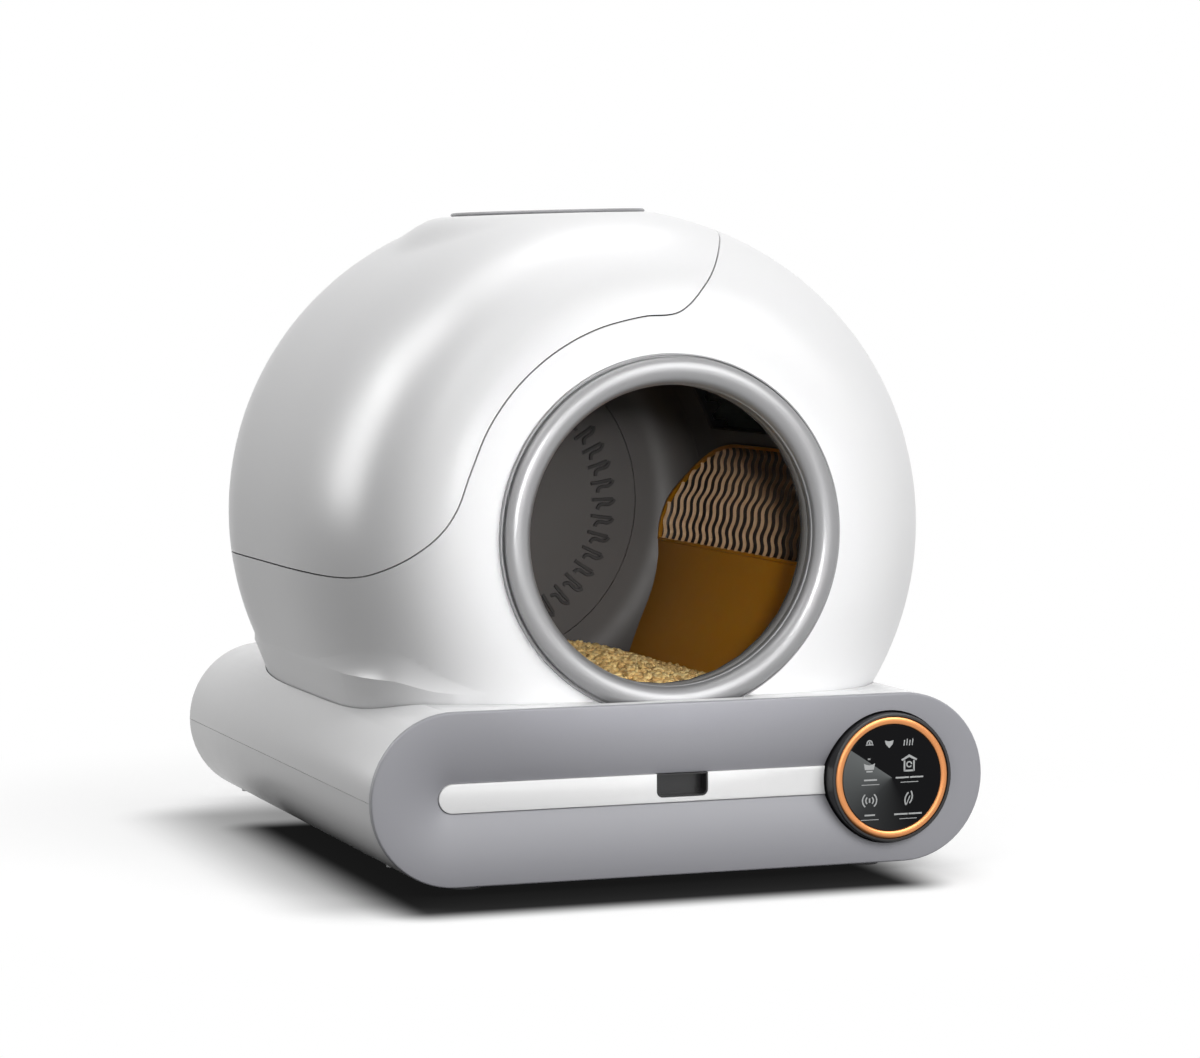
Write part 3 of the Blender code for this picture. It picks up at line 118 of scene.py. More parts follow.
def painted_shadow_box(middle, half, soft, strength):
    """Painted shadow on the floor: how much of the light is left at a point, less inside a box with soft edges."""
    spot = floor_place
    amounts = ((*middle, 0), (0, 0, 0), (*half, any_height), (0, 0, 0))
    for operation, amount in zip(("SUBTRACT", "ABSOLUTE", "SUBTRACT", "MAXIMUM"), amounts):
        spot = node(paint, "VectorMath", (spot, amount), operation=operation).outputs[0]
    away = node(paint, "VectorMath", (spot,), operation="LENGTH").outputs["Value"]
    fade = {"Value": away, "From Max": soft, "To Min": 1 - strength, "To Max": 1.0}
    return node(paint, "MapRange", fade, interpolation_type="SMOOTHSTEP").outputs["Result"]


# Painted shadow: a near-black box under the base, reaching forward of its front, and a softer wider one darken the
# floor's colour and its glow.
painted_contact_shadow = painted_shadow_box((-0.0375, -0.1275), (0.1975, 0.2275), 0.055, 0.97)
painted_floor_shadow = floor_math("MULTIPLY", painted_contact_shadow, painted_shadow_box((-0.05, -0.06), (0.21, 0.24), 0.11, 0.55))
floor_seen = seen_directly(paint)
reach = node(paint, "VectorMath", (floor_place,), operation="LENGTH").outputs["Value"]
turns_white = {"Value": reach, "From Min": 0.40, "From Max": 0.75}
away_white = node(paint, "MapRange", turns_white, interpolation_type="SMOOTHSTEP").outputs["Result"]
floor_tone = floor_math("MULTIPLY", painted_floor_shadow, floor_math("MULTIPLY_ADD", floor_seen, 0.29, 0.16))
floor_grey = node(paint, "CombineColor", (floor_tone, floor_tone, floor_tone)).outputs[0]
matt = paint.nodes["Principled BSDF"]
feed(matt, {"Base Color": floor_grey, "Roughness": 0.9, "Specular IOR Level": 0.0})
floor_glow = floor_math("MULTIPLY", painted_floor_shadow, floor_math("MULTIPLY", floor_seen, 0.62))
glow = node(paint, "Emission", {"Strength": floor_glow})
both = node(paint, "AddShader", (matt.outputs[0], glow.outputs[0]))
pure = node(paint, "Emission")
led_to_white = floor_math("MULTIPLY", away_white, floor_seen)
floor_mix = node(paint, "MixShader", (led_to_white, both.outputs[0], pure.outputs[0]))
feed(paint.nodes["Material Output"], {"Surface": floor_mix.outputs[0]})
floor.data.materials.append(floor_paint)


def aimed(name, lamp, place, aim):
    holder = bpy.data.objects.new(name, lamp)
    holder.location = place
    holder.rotation_euler = (Vector(aim) - Vector(place)).to_track_quat("-Z", "Y").to_euler()
    bpy.context.collection.objects.link(holder)
    return holder


def softbox(name, place, aim, width, height, power):
    lamp = bpy.data.lights.new(name, "AREA")
    lamp.shape = "RECTANGLE"
    lamp.size = width
    lamp.size_y = height
    lamp.energy = power
    return aimed(name, lamp, place, aim)


softbox("key_front", (1.1, -2.4, 1.6), (0, 0, 0.2), 2.0, 1.6, 49)
softbox("front_low", (0.2, -2.5, 0.35), (0, 0, 0.15), 1.8, 0.5, 8)
softbox("top", (-0.1, 0.2, 2.5), (0, 0, 0.3), 1.8, 1.8, 17)
softbox("left_shoulder", (-1.6, -1.3, 2.0), (0, 0, 0.35), 0.5, 1.5, 8)
softbox("rear_fill", (0.6, 2.8, 1.3), (0, 0, 0.25), 2.0, 1.4, 24).visible_glossy = False
gloss_aim = (-0.2, -0.2, 0.35)
for gloss in (
    softbox("gloss_left", (-1.75, 0.95, 0.95), gloss_aim, 0.8, 1.2, 26),
    softbox("gloss_shoulder", (-1.35, 0.80, 1.75), gloss_aim, 0.8, 0.9, 15),
    softbox("gloss_crown", (0.0, 0.95, 2.3), (0, -0.2, 0.45), 1.9, 0.8, 15),
):
    gloss.visible_diffuse = False
spot = bpy.data.lights.new("mouth_fill", "SPOT")
spot.energy = 80
spot.spot_size = radians(11.5)
spot.spot_blend = 0.2
spot.shadow_soft_size = 0.10
aimed("mouth_fill", spot, (-0.35, -1.6, 0.50), (0, -0.25, 0.28))

# The base shells are white ABS, injection moulded in two halves that meet in a seam at half height and are
# screwed together from below. The upper one has a pocket with a rolled edge for the foot of the hood.
front = -0.2984
back = 0.3056
shell_front = -0.2918
base_mid = 0.077
base_top = 0.147
end_radius = 0.070
end_offset = 0.195
base_wall = 0.003
pocket_floor = 0.1305
axis_z = 0.280
hood_front = -0.2654
hood_depth = 0.5364
skirt_y = hood_front + 0.47 * hood_depth
skirt_power = 4.6
skirt_lean = 0.37


def fresh():
    """Object mode with nothing selected, so that an operator acts on the new primitive alone."""
    if bpy.context.object and bpy.context.object.mode != "OBJECT":
        bpy.ops.object.mode_set(mode="OBJECT")
    bpy.ops.object.select_all(action="DESELECT")


def lofted(name, rings):
    """A closed form: a circle put on the first ring of points, then extruded from ring to ring."""
    fresh()
    bpy.ops.mesh.primitive_circle_add(vertices=len(rings[0]), fill_type="NGON")
    obj = bpy.context.object
    obj.name = obj.data.name = name
    for vert, point in zip(obj.data.vertices, rings[0]):
        vert.co = point
    bpy.ops.object.mode_set(mode="EDIT")
    for ring in rings[1:]:
        bpy.ops.mesh.extrude_region_move()
        shape = bmesh.from_edit_mesh(obj.data)
        for vert, point in zip([vert for vert in shape.verts if vert.select], ring):
            vert.co = point
        bmesh.update_edit_mesh(obj.data)
    bpy.ops.mesh.select_all(action="SELECT")
    bpy.ops.mesh.normals_make_consistent(inside=False)
    bpy.ops.object.mode_set(mode="OBJECT")
    return obj


def prism(name, outline, ends):
    """A closed form: an outline of (x, z), carried along Y from place to place."""
    return lofted(name, [[(x, y, z) for x, z in outline] for y in ends])


def spun(name, outline, centre, steps=128, upright=False):
    """A closed outline of (radius, distance along the axis), spun about a line along Y or, upright, along Z."""
    fresh()
    bpy.ops.mesh.primitive_circle_add(vertices=len(outline))
    obj = bpy.context.object
    obj.name = obj.data.name = name
    x, y, z = centre
    for vert, (radius, along) in zip(obj.data.vertices, outline):
        vert.co = (x + radius, y, z + along) if upright else (x + radius, y + along, z)
    bpy.ops.object.mode_set(mode="EDIT")
    shape = bmesh.from_edit_mesh(obj.data)
    for edge in shape.edges:
        edge.select_set(all(abs(vert.co.x - x) < 1e-7 for vert in edge.verts))
    bmesh.update_edit_mesh(obj.data)
    bpy.ops.mesh.delete(type="EDGE")
    bpy.ops.mesh.select_all(action="SELECT")
    bpy.ops.mesh.spin(steps=steps, angle=2 * pi, center=centre, axis=(0, 0, 1) if upright else (0, 1, 0))
    bpy.ops.mesh.select_all(action="SELECT")
    bpy.ops.mesh.remove_doubles(threshold=0.000002)
    bpy.ops.mesh.normals_make_consistent(inside=False)
    bpy.ops.object.mode_set(mode="OBJECT")
    return obj


def carve(obj, tool, operation="DIFFERENCE"):
    """Cuts, joins or trims with a shape made for that alone."""
    fresh()
    bpy.context.view_layer.objects.active = obj
    step = obj.modifiers.new("carve", "BOOLEAN")
    step.object = tool
    step.operation = operation
    step.solver = "EXACT"
    bpy.ops.object.modifier_apply(modifier=step.name)
    bpy.data.objects.remove(tool)
    return obj


def put_down(name):
    """The new primitive, with its place, turn and size put into its mesh."""
    bpy.ops.object.transform_apply(location=True, rotation=True, scale=True)
    bpy.context.object.name = bpy.context.object.data.name = name
    return bpy.context.object


far = 1.0


def box_between(name, low, high):
    fresh()
    middle = [(a + b) / 2 for a, b in zip(low, high)]
    bpy.ops.mesh.primitive_cube_add(size=1, location=middle, scale=[b - a for a, b in zip(low, high)])
    return put_down(name)


def slab(low, high):
    """All between two heights."""
    return box_between("slab", (-far, -far, low), (far, far, high))


def pin_between(name, radius, start, end, sides=48):
    """A round bar from one point to another."""
    fresh()
    start, end = Vector(start), Vector(end)
    turn = (end - start).to_track_quat("Z", "Y").to_euler()
    bpy.ops.mesh.primitive_cylinder_add(
        vertices=sides, radius=radius, depth=(end - start).length, location=(start + end) / 2, rotation=turn
    )
    return put_down(name)


def bore_between(name, radius, start, end, sides=192):
    """A round bar about the drum's axis, from one depth to another."""
    return pin_between(name, radius, (0, start, axis_z), (0, end, axis_z), sides)


def pill(radius, y, steps=32):
    """The outline of a pill that lies on its side, in the plane at y."""
    points = []
    for side in (1, -1):
        for i in range(steps + 1):
            angle = pi * i / steps
            points.append((side * (end_offset + radius * sin(angle)), y, base_mid - side * radius * cos(angle)))
    return points


foot_half_x, foot_half_y = 0.2345, 0.2430
flush_corner, flush_reach, flush_depth = radians(325), radians(50), 0.0125


def foot_outline(grow, z, count=144):
    """The plan of the hood's foot at a height: a rounded rectangle whose sides lean out as they rise.
    At its right front corner it is drawn in, flush with the hood."""
    lean = (z - pocket_floor) * skirt_lean + grow
    points = []
    for i in range(count):
        angle = 2 * pi * (i + 0.5) / count
        c, s = cos(angle), sin(angle)
        off_corner = angle - flush_corner
        flush = max(0.0, cos(off_corner * 1.8)) ** 2 if abs(off_corner) < flush_reach else 0.0
        half_x = foot_half_x + lean * (1 - 0.9 * flush) - flush_depth * flush
        x = half_x * abs(c) ** (2 / skirt_power) * (1 if c > 0 else -1)
        y = (foot_half_y + lean) * abs(s) ** (2 / skirt_power) * (1 if s > 0 else -1)
        points.append((x, skirt_y + y, z))
    return points


hood_radius, flat_radius = 0.2714, 0.148
front_run, hood_band, back_run = 0.2574, 0.0980, 0.1810
front_power, back_power = 2.89, 1.90


def hood_outline(wall):
    """(radius, depth) along the hood's surface, or along one a wall's thickness inside it."""
    full = hood_radius - wall - flat_radius
    shares = [1 - max(cos(pi / 2 * i / 30), 0.0) ** (2 / front_power) for i in range(20)]
    shares += [shares[-1] + (1 - shares[-1]) * i / 16 for i in range(1, 17)]
    points = []
    for s in shares:
        radius = flat_radius + full * (1 - (1 - s) ** front_power) ** (1 / front_power)
        points.append((radius, wall + (front_run - wall) * s))
    points += [(flat_radius + full, front_run + hood_band * i / 10) for i in range(1, 10)]
    for i in range(29):
        angle = pi / 2 * i / 28
        radius = flat_radius + full * max(cos(angle), 0.0) ** (2 / back_power)
        points.append((radius, front_run + hood_band + (back_run - wall) * sin(angle) ** (2 / back_power)))
    return points


def hood_form(name, wall):
    outline = hood_outline(wall)
    closed = [(0, outline[0][1])] + outline + [(0, outline[-1][1])]
    return spun(name, closed, (0, hood_front, axis_z), 192)


def moulded_surface():
    """Moulded plastic: slight drift of tone and gloss over the piece, and a fine even grain."""
    group = bpy.data.node_groups.new("moulded_surface", "ShaderNodeTree")
    labels = ("Colour", "Drift", "Roughness", "Roughness Spread", "Grain Scale")
    for way, labels_of_way in (("INPUT", labels), ("OUTPUT", ("Colour", "Roughness", "Height"))):
        for label in labels_of_way:
            kind = "NodeSocketColor" if label == "Colour" else "NodeSocketFloat"
            group.interface.new_socket(label, in_out=way, socket_type=kind)
    given, made = group.nodes.new("NodeGroupInput").outputs, group.nodes.new("NodeGroupOutput")
    place = node(group, "TexCoord").outputs["Object"]
    broad = node(group, "TexNoise", {"Vector": place, "Scale": 7.0, "Detail": 3.0})
    smear = node(group, "TexNoise", {"Vector": place, "Scale": 38.0, "Detail": 5.0, "Distortion": 0.6})
    grain = node(group, "TexNoise", {"Vector": place, "Scale": given["Grain Scale"], "Detail": 2.0})

    def spread(source, amount, onto):
        """onto + amount * (source - 0.5)"""
        centred = node(group, "Math", (source.outputs["Fac"], 0.5), operation="SUBTRACT")
        return node(group, "Math", (centred.outputs[0], amount, onto), operation="MULTIPLY_ADD").outputs[0]

    tone = spread(broad, given["Drift"], 1.0)
    toned = node(group, "VectorMath", {0: given["Colour"], "Scale": tone}, operation="SCALE")
    rough = spread(smear, given["Roughness Spread"], given["Roughness"])
    feed(made, {"Colour": toned.outputs["Vector"], "Roughness": rough, "Height": grain.outputs["Fac"]})
    return group


moulded = moulded_surface()


def plastic(name, colour, roughness, drift=0.03, spread=0.06, grain=1400, relief=0.00002, metallic=0.0, bump=0.35):
    """A moulded finish: the shared surface drives the colour, the roughness and the bump."""
    material = bpy.data.materials.new(name)
    material.use_nodes = True
    tree = material.node_tree
    values = {"Colour": (*colour, 1.0), "Drift": drift, "Grain Scale": grain}
    values.update({"Roughness": roughness, "Roughness Spread": spread})
    surface = node(tree, "Group", values, node_tree=moulded).outputs
    normal = node(tree, "Bump", {"Height": surface["Height"], "Strength": bump, "Distance": relief}).outputs[0]
    looks = {"Base Color": surface["Colour"], "Roughness": surface["Roughness"], "Normal": normal}
    feed(tree.nodes["Principled BSDF"], {**looks, "Metallic": metallic})
    return material


def dressed(obj, material, body, slot, *nodes, sharp=32):
    """The piece gets smooth faces up to its sharp edges, and its finish. It rides on its body and stands for
    its solids."""
    fresh()
    obj.select_set(True)
    bpy.context.view_layer.objects.active = obj
    bpy.ops.object.shade_smooth_by_angle(angle=radians(sharp))
    obj.data.materials.clear()
    obj.data.materials.append(material)
    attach(obj, body)
    if nodes:
        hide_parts(*nodes)
    return obj


white_shell = plastic("white_shell", (0.90, 0.90, 0.905), 0.26, drift=0.012, spread=0.05)
cavity_rings = [
    pill(end_radius - base_wall, front - 0.01),
    pill(end_radius - base_wall, back - 0.015),
    pill(end_radius - 0.0036 - base_wall, back - 0.0066),
    pill(end_radius - 0.012 - base_wall, back - base_wall),
]


def base_form(name):
    """The whole pill: sharp at the front, where the drawer meets it, and rounded at the back."""
    rings = [pill(end_radius - 0.0008, shell_front), pill(end_radius - 0.0002, shell_front + 0.0002)]
    rings.append(pill(end_radius, shell_front + 0.0008))
    for i in range(7):
        angle = pi / 2 * i / 6
        rings.append(pill(end_radius - 0.012 * (1 - cos(angle)), back - 0.012 * (1 - sin(angle))))
    return lofted(name, rings)


posts = [(side * 0.223, y) for side in (-1, 1) for y in (shell_front + 0.073, back - 0.063)]
lower = base_form("base_lower_shell")
carve(lower, slab(base_mid - 0.0002, far))
carve(lower, lofted("cavity", cavity_rings))
for x, y in posts:
    carve(lower, pin_between("post", 0.0055, (x, y, 0.014), (x, y, base_mid - 0.0004), 32), "UNION")
    carve(lower, pin_between("head", 0.0037, (x, y, -0.01), (x, y, 0.0211), 32))
    carve(lower, pin_between("bore", 0.0019, (x, y, -0.01), (x, y, 0.2), 24))
inlet_x, inlet_z = 0.150, 0.045
for radius, start in ((0.0088, back - 0.0014), (0.0065, back - 0.016)):
    carve(lower, pin_between("inlet", radius, (inlet_x, start, inlet_z), (inlet_x, back + 0.01, inlet_z)))
dressed(lower, white_shell, "base", "white_shell", "base_lower")

collar = lofted("collar", [foot_outline(0.006, z) for z in (0.1245, base_top + 0.01)])
notch_y = -0.2804
notch_liner = bore_between("notch_liner", 0.1525, notch_y - base_wall, skirt_y)
room_liner = hood_form("room_liner", -0.004)
carve(room_liner, slab(pocket_floor - base_wall, axis_z), "INTERSECT")
cavity = lofted("cavity", cavity_rings)
for tool in (collar, notch_liner, room_liner):
    carve(cavity, tool)
upper = base_form("base_upper_shell")
carve(upper, slab(-far, base_mid + 0.0002))
carve(upper, cavity)
pocket_rings = [foot_outline(0.0010, pocket_floor), foot_outline(0.0010, base_top - 0.0022)]
pocket_rings += [foot_outline(0.0014, base_top - 0.0010), foot_outline(0.0022, base_top - 0.0003)]
pocket_rings += [foot_outline(0.0036, base_top + 0.0002), foot_outline(0.0050, base_top + 0.01)]
carve(upper, lofted("pocket", pocket_rings))
room = hood_form("room", -0.001)
carve(room, slab(pocket_floor, axis_z), "INTERSECT")
carve(upper, room)
carve(upper, lofted("deck_opening", [foot_outline(-0.012, z) for z in (0.11, base_top + 0.01)]))
carve(upper, bore_between("notch", 0.1495, notch_y, skirt_y))
dressed(upper, white_shell, "base", "white_shell", "base_upper")

# Feet: moulded rubber discs with a rolled lower edge, pressed into the floor of the base.
foot_rubber = plastic("foot_rubber", (0.30, 0.30, 0.31), 0.78, drift=0.08, spread=0.12, grain=2600, relief=0.00005)
corner_labels = ("front_left", "front_right", "rear_left", "rear_right")
for label in corner_labels:
    low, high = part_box("foot_" + label)
    x, y = (low[0] + high[0]) / 2, (low[1] + high[1]) / 2
    top = high[2]
    outline = [(0, 0), (0.0138, 0)]
    outline += [(0.0138 + 0.0022 * sin(pi / 8 * i), 0.0022 - 0.0022 * cos(pi / 8 * i)) for i in range(1, 5)]
    outline += [(0.016, top), (0, top)]
    foot = spun("foot_pad_" + label, outline, (x, y, 0), 64, upright=True)
    dressed(foot, foot_rubber, "base", "foot_rubber", "foot_" + label)

# Hood: two glossy white ABS mouldings, the body with the flared foot and the lid, that meet in an S-shaped
# seam. The lid turns on two steel pins in knuckles at the seam's upper end, on the crown.
hood_wall = 0.003
bore_radius = 0.1263
seam_half = 0.0006


def smooth_line(points, steps):
    """Points on a curve through the given ones."""
    points = [Vector(point) for point in points]
    ends = [2 * points[0] - points[1]] + points + [2 * points[-1] - points[-2]]
    curve = []
    for a, b, c, d in zip(ends, ends[1:], ends[2:], ends[3:]):
        for i in range(steps):
            t = i / steps
            curve.append(
                0.5 * (2 * b + (c - a) * t + (2 * a - 5 * b + 4 * c - d) * t * t + (3 * b - a - 3 * c + d) * t**3)
            )
    return curve + [points[-1]]


def beside(points, distance):
    """The same open line moved to its left."""
    moved = []
    for i, point in enumerate(points):
        along = (points[min(i + 1, len(points) - 1)] - points[max(i - 1, 0)]).normalized()
        moved.append(point + Vector((-along.y, along.x)) * distance)
    return moved


seam_left = [(-1.25, -0.095), (-1.08, -0.112), (-0.94, -0.126), (-0.845, -0.085), (-0.735, 0.0), (-0.672, 0.085)]
seam_right = [(0.030, 0.668), (0.130, 0.755), (0.232, 0.868), (0.345, 0.944)]
hinge_x = seam_right[-1][0] * hood_radius
hinge_z = axis_z + sqrt(hood_radius**2 - hinge_x**2)
seam_arc = [(0.179 * cos(radians(163 - 13 * i)), 0.179 * sin(radians(163 - 13 * i))) for i in range(6)]
seam_points = [Vector(point) * hood_radius for point in seam_left] + [Vector(point) for point in seam_arc]
seam_points += [Vector(point) * hood_radius for point in seam_right[:-1]] + [Vector((hinge_x, hinge_z - axis_z))]
seam_line = smooth_line(seam_points, 8)


def lid_side(shift):
    """All that lies above and left of the seam, moved off it."""
    line = beside(seam_line, shift)
    top = hood_radius + 0.01
    line = line + [Vector((line[-1].x, top)), Vector((line[0].x, top))]
    outline = [(point.x, axis_z + point.y) for point in line]
    ends = (hood_front - 0.01, hood_front + hood_depth + 0.01)
    return prism("lid_side", outline, ends)


def hood_radius_at(depth):
    """Radius of the hood's surface at a depth behind its front."""
    if depth < front_run:
        share, power = 1 - depth / front_run, front_power
    else:
        share, power = max(0.0, (depth - front_run - hood_band) / back_run), back_power
    along = min(1.0, max(0.0, share)) ** (power / 2)
    return flat_radius + (hood_radius - flat_radius) * sqrt(1 - along * along) ** (2 / power)


def on_hood(x, y, z, inset):
    """Where a level ray from the middle of the foot through a point meets the hood."""
    low, high = 0.0, 2.0
    for _ in range(40):
        share = (low + high) / 2
        depth = skirt_y + (y - skirt_y) * share - hood_front
        inside = inset < depth < hood_depth - inset
        if inside and sqrt((x * share) ** 2 + (axis_z - z) ** 2) < hood_radius_at(depth) - inset:
            low = share
        else:
            high = share
    return Vector((x * low, skirt_y + (y - skirt_y) * low, z))


def foot_flare(name, inset):
    """The hood's foot: a leaning band up to a crease, then a turn back into the hood's own surface."""
    foot = foot_outline(-inset, pocket_floor + 0.0003)
    rings = [foot] if not inset else [[(x, y, z - 0.01) for x, y, z in foot], foot]
    crease, knees, tops = [], [], []
    for i, (x, y, z) in enumerate(foot):
        corner = min(1.0, max(0.0, ((skirt_y - y) / foot_half_y - 0.80) / 0.16))
        height = 0.1645 - 0.0095 * corner * corner * (3 - 2 * corner)
        edge = Vector(foot_outline(-inset, height)[i])
        middle = Vector((0, skirt_y, height))
        gap = max(0.0, (edge - middle).length - (on_hood(x, y, height, inset) - middle).length)
        rise = 0.004 + 2.0 * gap
        crease.append(edge)
        knees.append(on_hood(x, y, height + 0.55 * rise, inset))
        tops.append(on_hood(x, y, height + 1.3 * rise, 0.0012 + inset))
    rings.append(crease)
    for share in (0.06, 0.15, 0.3, 0.45, 0.6, 0.8, 1.0):
        ring = []
        for low, knee, top in zip(crease, knees, tops):
            ring.append(low * (1 - share) ** 2 + knee * 2 * share * (1 - share) + top * share**2)
        rings.append(ring)
    return lofted(name, [[tuple(point) for point in ring] for ring in rings])


outer_line = hood_outline(0)
solid_outline = [(bore_radius, 0)] + outer_line + [(0, outer_line[-1][1]), (0, 0.12), (bore_radius, 0.12)]
hood_place = (0, hood_front, axis_z)

hood_gloss = plastic("hood_gloss", (0.79, 0.79, 0.795), 0.33, drift=0.01, spread=0.04)
body = spun("hood_body_shell", solid_outline, hood_place, 192)
flare = foot_flare("flare", 0)
carve(flare, bore_between("foot_bore", bore_radius, hood_front - 0.05, hood_front + 0.12))
carve(body, flare, "UNION")
carve(body, slab(-far, pocket_floor + 0.0003))
carve(body, hood_form("hollow", hood_wall))
carve(body, foot_flare("flare_hollow", hood_wall))
carve(body, lid_side(-seam_half))
cap_y, cap_turn = 0.01503, radians(1.6)
pad_top, seat_radius = 0.2648, 0.0885
leaning = Matrix.Translation((0, cap_y, axis_z)) @ Matrix.Rotation(-cap_turn, 4, "Y")


def on_crown(name, outline):
    """Spun about the cap's middle line, which leans to the left. Heights are over the drum's axis."""
    obj = spun(name, outline, (0, 0, 0), 128, upright=True)
    obj.data.transform(leaning)
    return obj


lid = spun("hood_lid_shell", solid_outline, hood_place, 256)
upright_again = leaning.inverted()
bulge = 0.002
for vert in lid.data.vertices:
    across, along, height = upright_again @ vert.co
    if height < 0.15:
        continue
    over = height - (pad_top - bulge)
    base = height if over < 0 else pad_top - bulge + bulge * (1 - 1 / (1 + over / bulge))
    away = sqrt(across**2 + (along / 1.12) ** 2) - seat_radius
    reach = 0.050 if across < 0 else 0.012
    share = min(1.0, max(0.0, 1 - away / reach))
    share = share * share * (3 - 2 * share)
    vert.co = leaning @ Vector((across, along, base + (pad_top - base) * share))


def over_crown(name, radius, low):
    """All above a height, out to a radius from the cap's middle line."""
    return on_crown(name, [(0, low), (radius, low), (radius, 0.3), (0, 0.3)])


carve(lid, over_crown("crown", 0.3, pad_top))
lid_hollow = hood_form("hollow", hood_wall)
carve(lid_hollow, over_crown("room", 0.3, pad_top - hood_wall))
carve(lid, lid_hollow)
carve(lid, lid_side(seam_half), "INTERSECT")

pin_metal = plastic("pin_metal", (0.60, 0.61, 0.63), 0.3, drift=0.06, spread=0.15, grain=900, metallic=1.0)
knuckle, knuckle_radius, room_radius = 0.012, 0.0045, 0.0051


def along_hinge(radius, start, end):
    return pin_between("along_hinge", radius, (hinge_x, start, hinge_z), (hinge_x, end, hinge_z), 40)


for share in (0.44, 0.68):
    middle = hood_front + hood_depth * share
    low, high = middle - knuckle / 2, middle + knuckle / 2
    first, last = low - 0.0006 - knuckle, high + 0.0006 + knuckle
    carve(body, along_hinge(room_radius, first - 0.0006, low - 0.0003))
    carve(body, along_hinge(room_radius, high + 0.0003, last + 0.0006))
    carve(body, along_hinge(knuckle_radius, low, high), "UNION")
    carve(lid, along_hinge(room_radius, low - 0.0003, high + 0.0003))
    carve(lid, along_hinge(knuckle_radius, first, low - 0.0006), "UNION")
    carve(lid, along_hinge(knuckle_radius, high + 0.0006, last), "UNION")
    for half in (body, lid):
        carve(half, along_hinge(0.0019, first - 0.01, last + 0.01))
carve(lid, over_crown("filter_hole", 0.061, 0.2))
dressed(body, hood_gloss, "base", "white_hood", "hood_body")
dressed(lid, hood_gloss, "lid", "white_hood", "hood_lid")

# The filter cap: a flat disc of grey ABS with a bevelled rim and a shallow dished face, snapped over the
# charcoal filter in the lid.
cap_low, cap_high = pad_top + 0.0003, 0.2680
cap_outline = [(0, cap_low), (0.0847, cap_low), (0.0853, cap_low + 0.0005), (0.0855, cap_low + 0.0014)]
cap_outline += [(0.0852, cap_high - 0.0012), (0.0845, cap_high - 0.0004), (0.0834, cap_high)]
cap_outline += [(0.0790, cap_high), (0.0780, cap_high - 0.0004), (0.0770, cap_high - 0.0012)]
cap_outline.append((0, cap_high - 0.0014))
cap = on_crown("filter_cap_disc", cap_outline)
cap_grey = plastic("cap_grey", (0.27, 0.27, 0.28), 0.4, drift=0.03)
dressed(cap, cap_grey, "lid", "grey_cap", "filter_cap")

# The entrance ring: one satin silver bead with a thin groove at its outer edge, and a grey neck that passes
# through the hood to the drum's mouth.
bead_middle, bead_half, bead_proud = 0.13525, 0.01275, 0.0130
ring_outline = [(0.1480, -0.0003), (0.1480, -0.0040), (0.1476, -0.0046), (0.1469, -0.0046), (0.1465, -0.0040)]
ring_outline += [(0.1463, -0.0012), (0.1452, -0.0012), (0.1450, -0.0060)]
for i in range(23):
    angle = radians(42 + (160 - 42) * i / 22)
    ring_outline.append((bead_middle + bead_half * cos(angle), -0.0003 - bead_proud * sin(angle)))
ring_outline += [(0.1231, -0.0040), (0.1240, -0.0037), (0.1240, -0.0029), (0.1229, -0.0025), (0.1225, -0.0019)]
ring_outline += [(0.1225, 0.0004), (0.1225, 0.0040), (0.1228, 0.0044), (0.1228, 0.0054), (0.1225, 0.0058)]
ring_outline += [(0.1225, 0.0165), (0.1229, 0.0170), (0.1260, 0.0170), (0.1260, -0.0003)]
ring = spun("entrance_bead", ring_outline, hood_place, 192)
ring_silver = plastic("ring_silver", (0.29, 0.29, 0.295), 0.34, drift=0.03, spread=0.05, metallic=0.45, grain=2200)
dressed(ring, ring_silver, "base", "silver_ring", "entrance_ring", sharp=40)
ring.data.materials.append(plastic("neck_grey", (0.23, 0.225, 0.22), 0.5, drift=0.04, grain=1500))
for face in ring.data.polygons:
    if face.center.y > hood_front + 0.0005:
        face.material_index = 1

# The drum: dark grey polypropylene, welded from a nose with the mouth, a barrel with the waste port, and a
# rear ring that holds the back disc. The marks on the disc are pairs of ribs, one straight, one curved,
# coloured near-black as painted shade.
drum_front, drum_length = -0.2458, 0.4545
drum_back = drum_front + drum_length
drum_radius, drum_wall, mouth_radius, corner = 0.204, 0.0025, 0.1285, 0.040
inner = drum_radius - drum_wall
nose = drum_length * 0.11
drum_dark = plastic("drum_dark", (0.060, 0.055, 0.052), 0.55, drift=0.12, spread=0.1, grain=1700, relief=0.00004)


def drum_line(grow, steps=14):
    nose_part, rear_part = [], []
    for i in range(steps + 1):
        angle = pi / 2 * i / steps
        radius = mouth_radius + (drum_radius - mouth_radius) * sin(angle) + grow * sin(angle)
        nose_part.append((radius, nose * (1 - cos(angle)) - grow * cos(angle)))
        radius = drum_radius - corner + (corner + grow) * cos(angle)
        rear_part.append((radius, drum_length - corner + (corner + grow) * sin(angle)))
    return nose_part, rear_part


drum_place = (0, drum_front, axis_z)
nose_out, rear_out = drum_line(0)
nose_in, rear_in = drum_line(-drum_wall)
nose_in[0] = (mouth_radius - 0.0025, 0)
nose_piece = spun("drum_nose_shell", nose_out + nose_in[::-1], drum_place, 160)
dressed(nose_piece, drum_dark, "drum", "drum_plastic", "drum_nose")
barrel_ends = (nose + 0.0003, drum_length - corner - 0.0003)
barrel_outline = [(drum_radius, barrel_ends[0]), (drum_radius, barrel_ends[1])]
barrel_outline += [(inner, barrel_ends[1]), (inner, barrel_ends[0])]
barrel = spun("drum_barrel", barrel_outline, drum_place, 160)
port_ends = (drum_front + 0.3 * drum_length, drum_front + 0.8 * drum_length)
port = box_between("port", (0.18, port_ends[0], -0.055), (0.22, port_ends[1], 0.055))
port.data.transform(Matrix.Translation((0, 0, axis_z)) @ Matrix.Rotation(-radians(36), 4, "Y"))
carve(barrel, port)
dressed(barrel, drum_dark, "drum", "drum_plastic", "drum_shell")
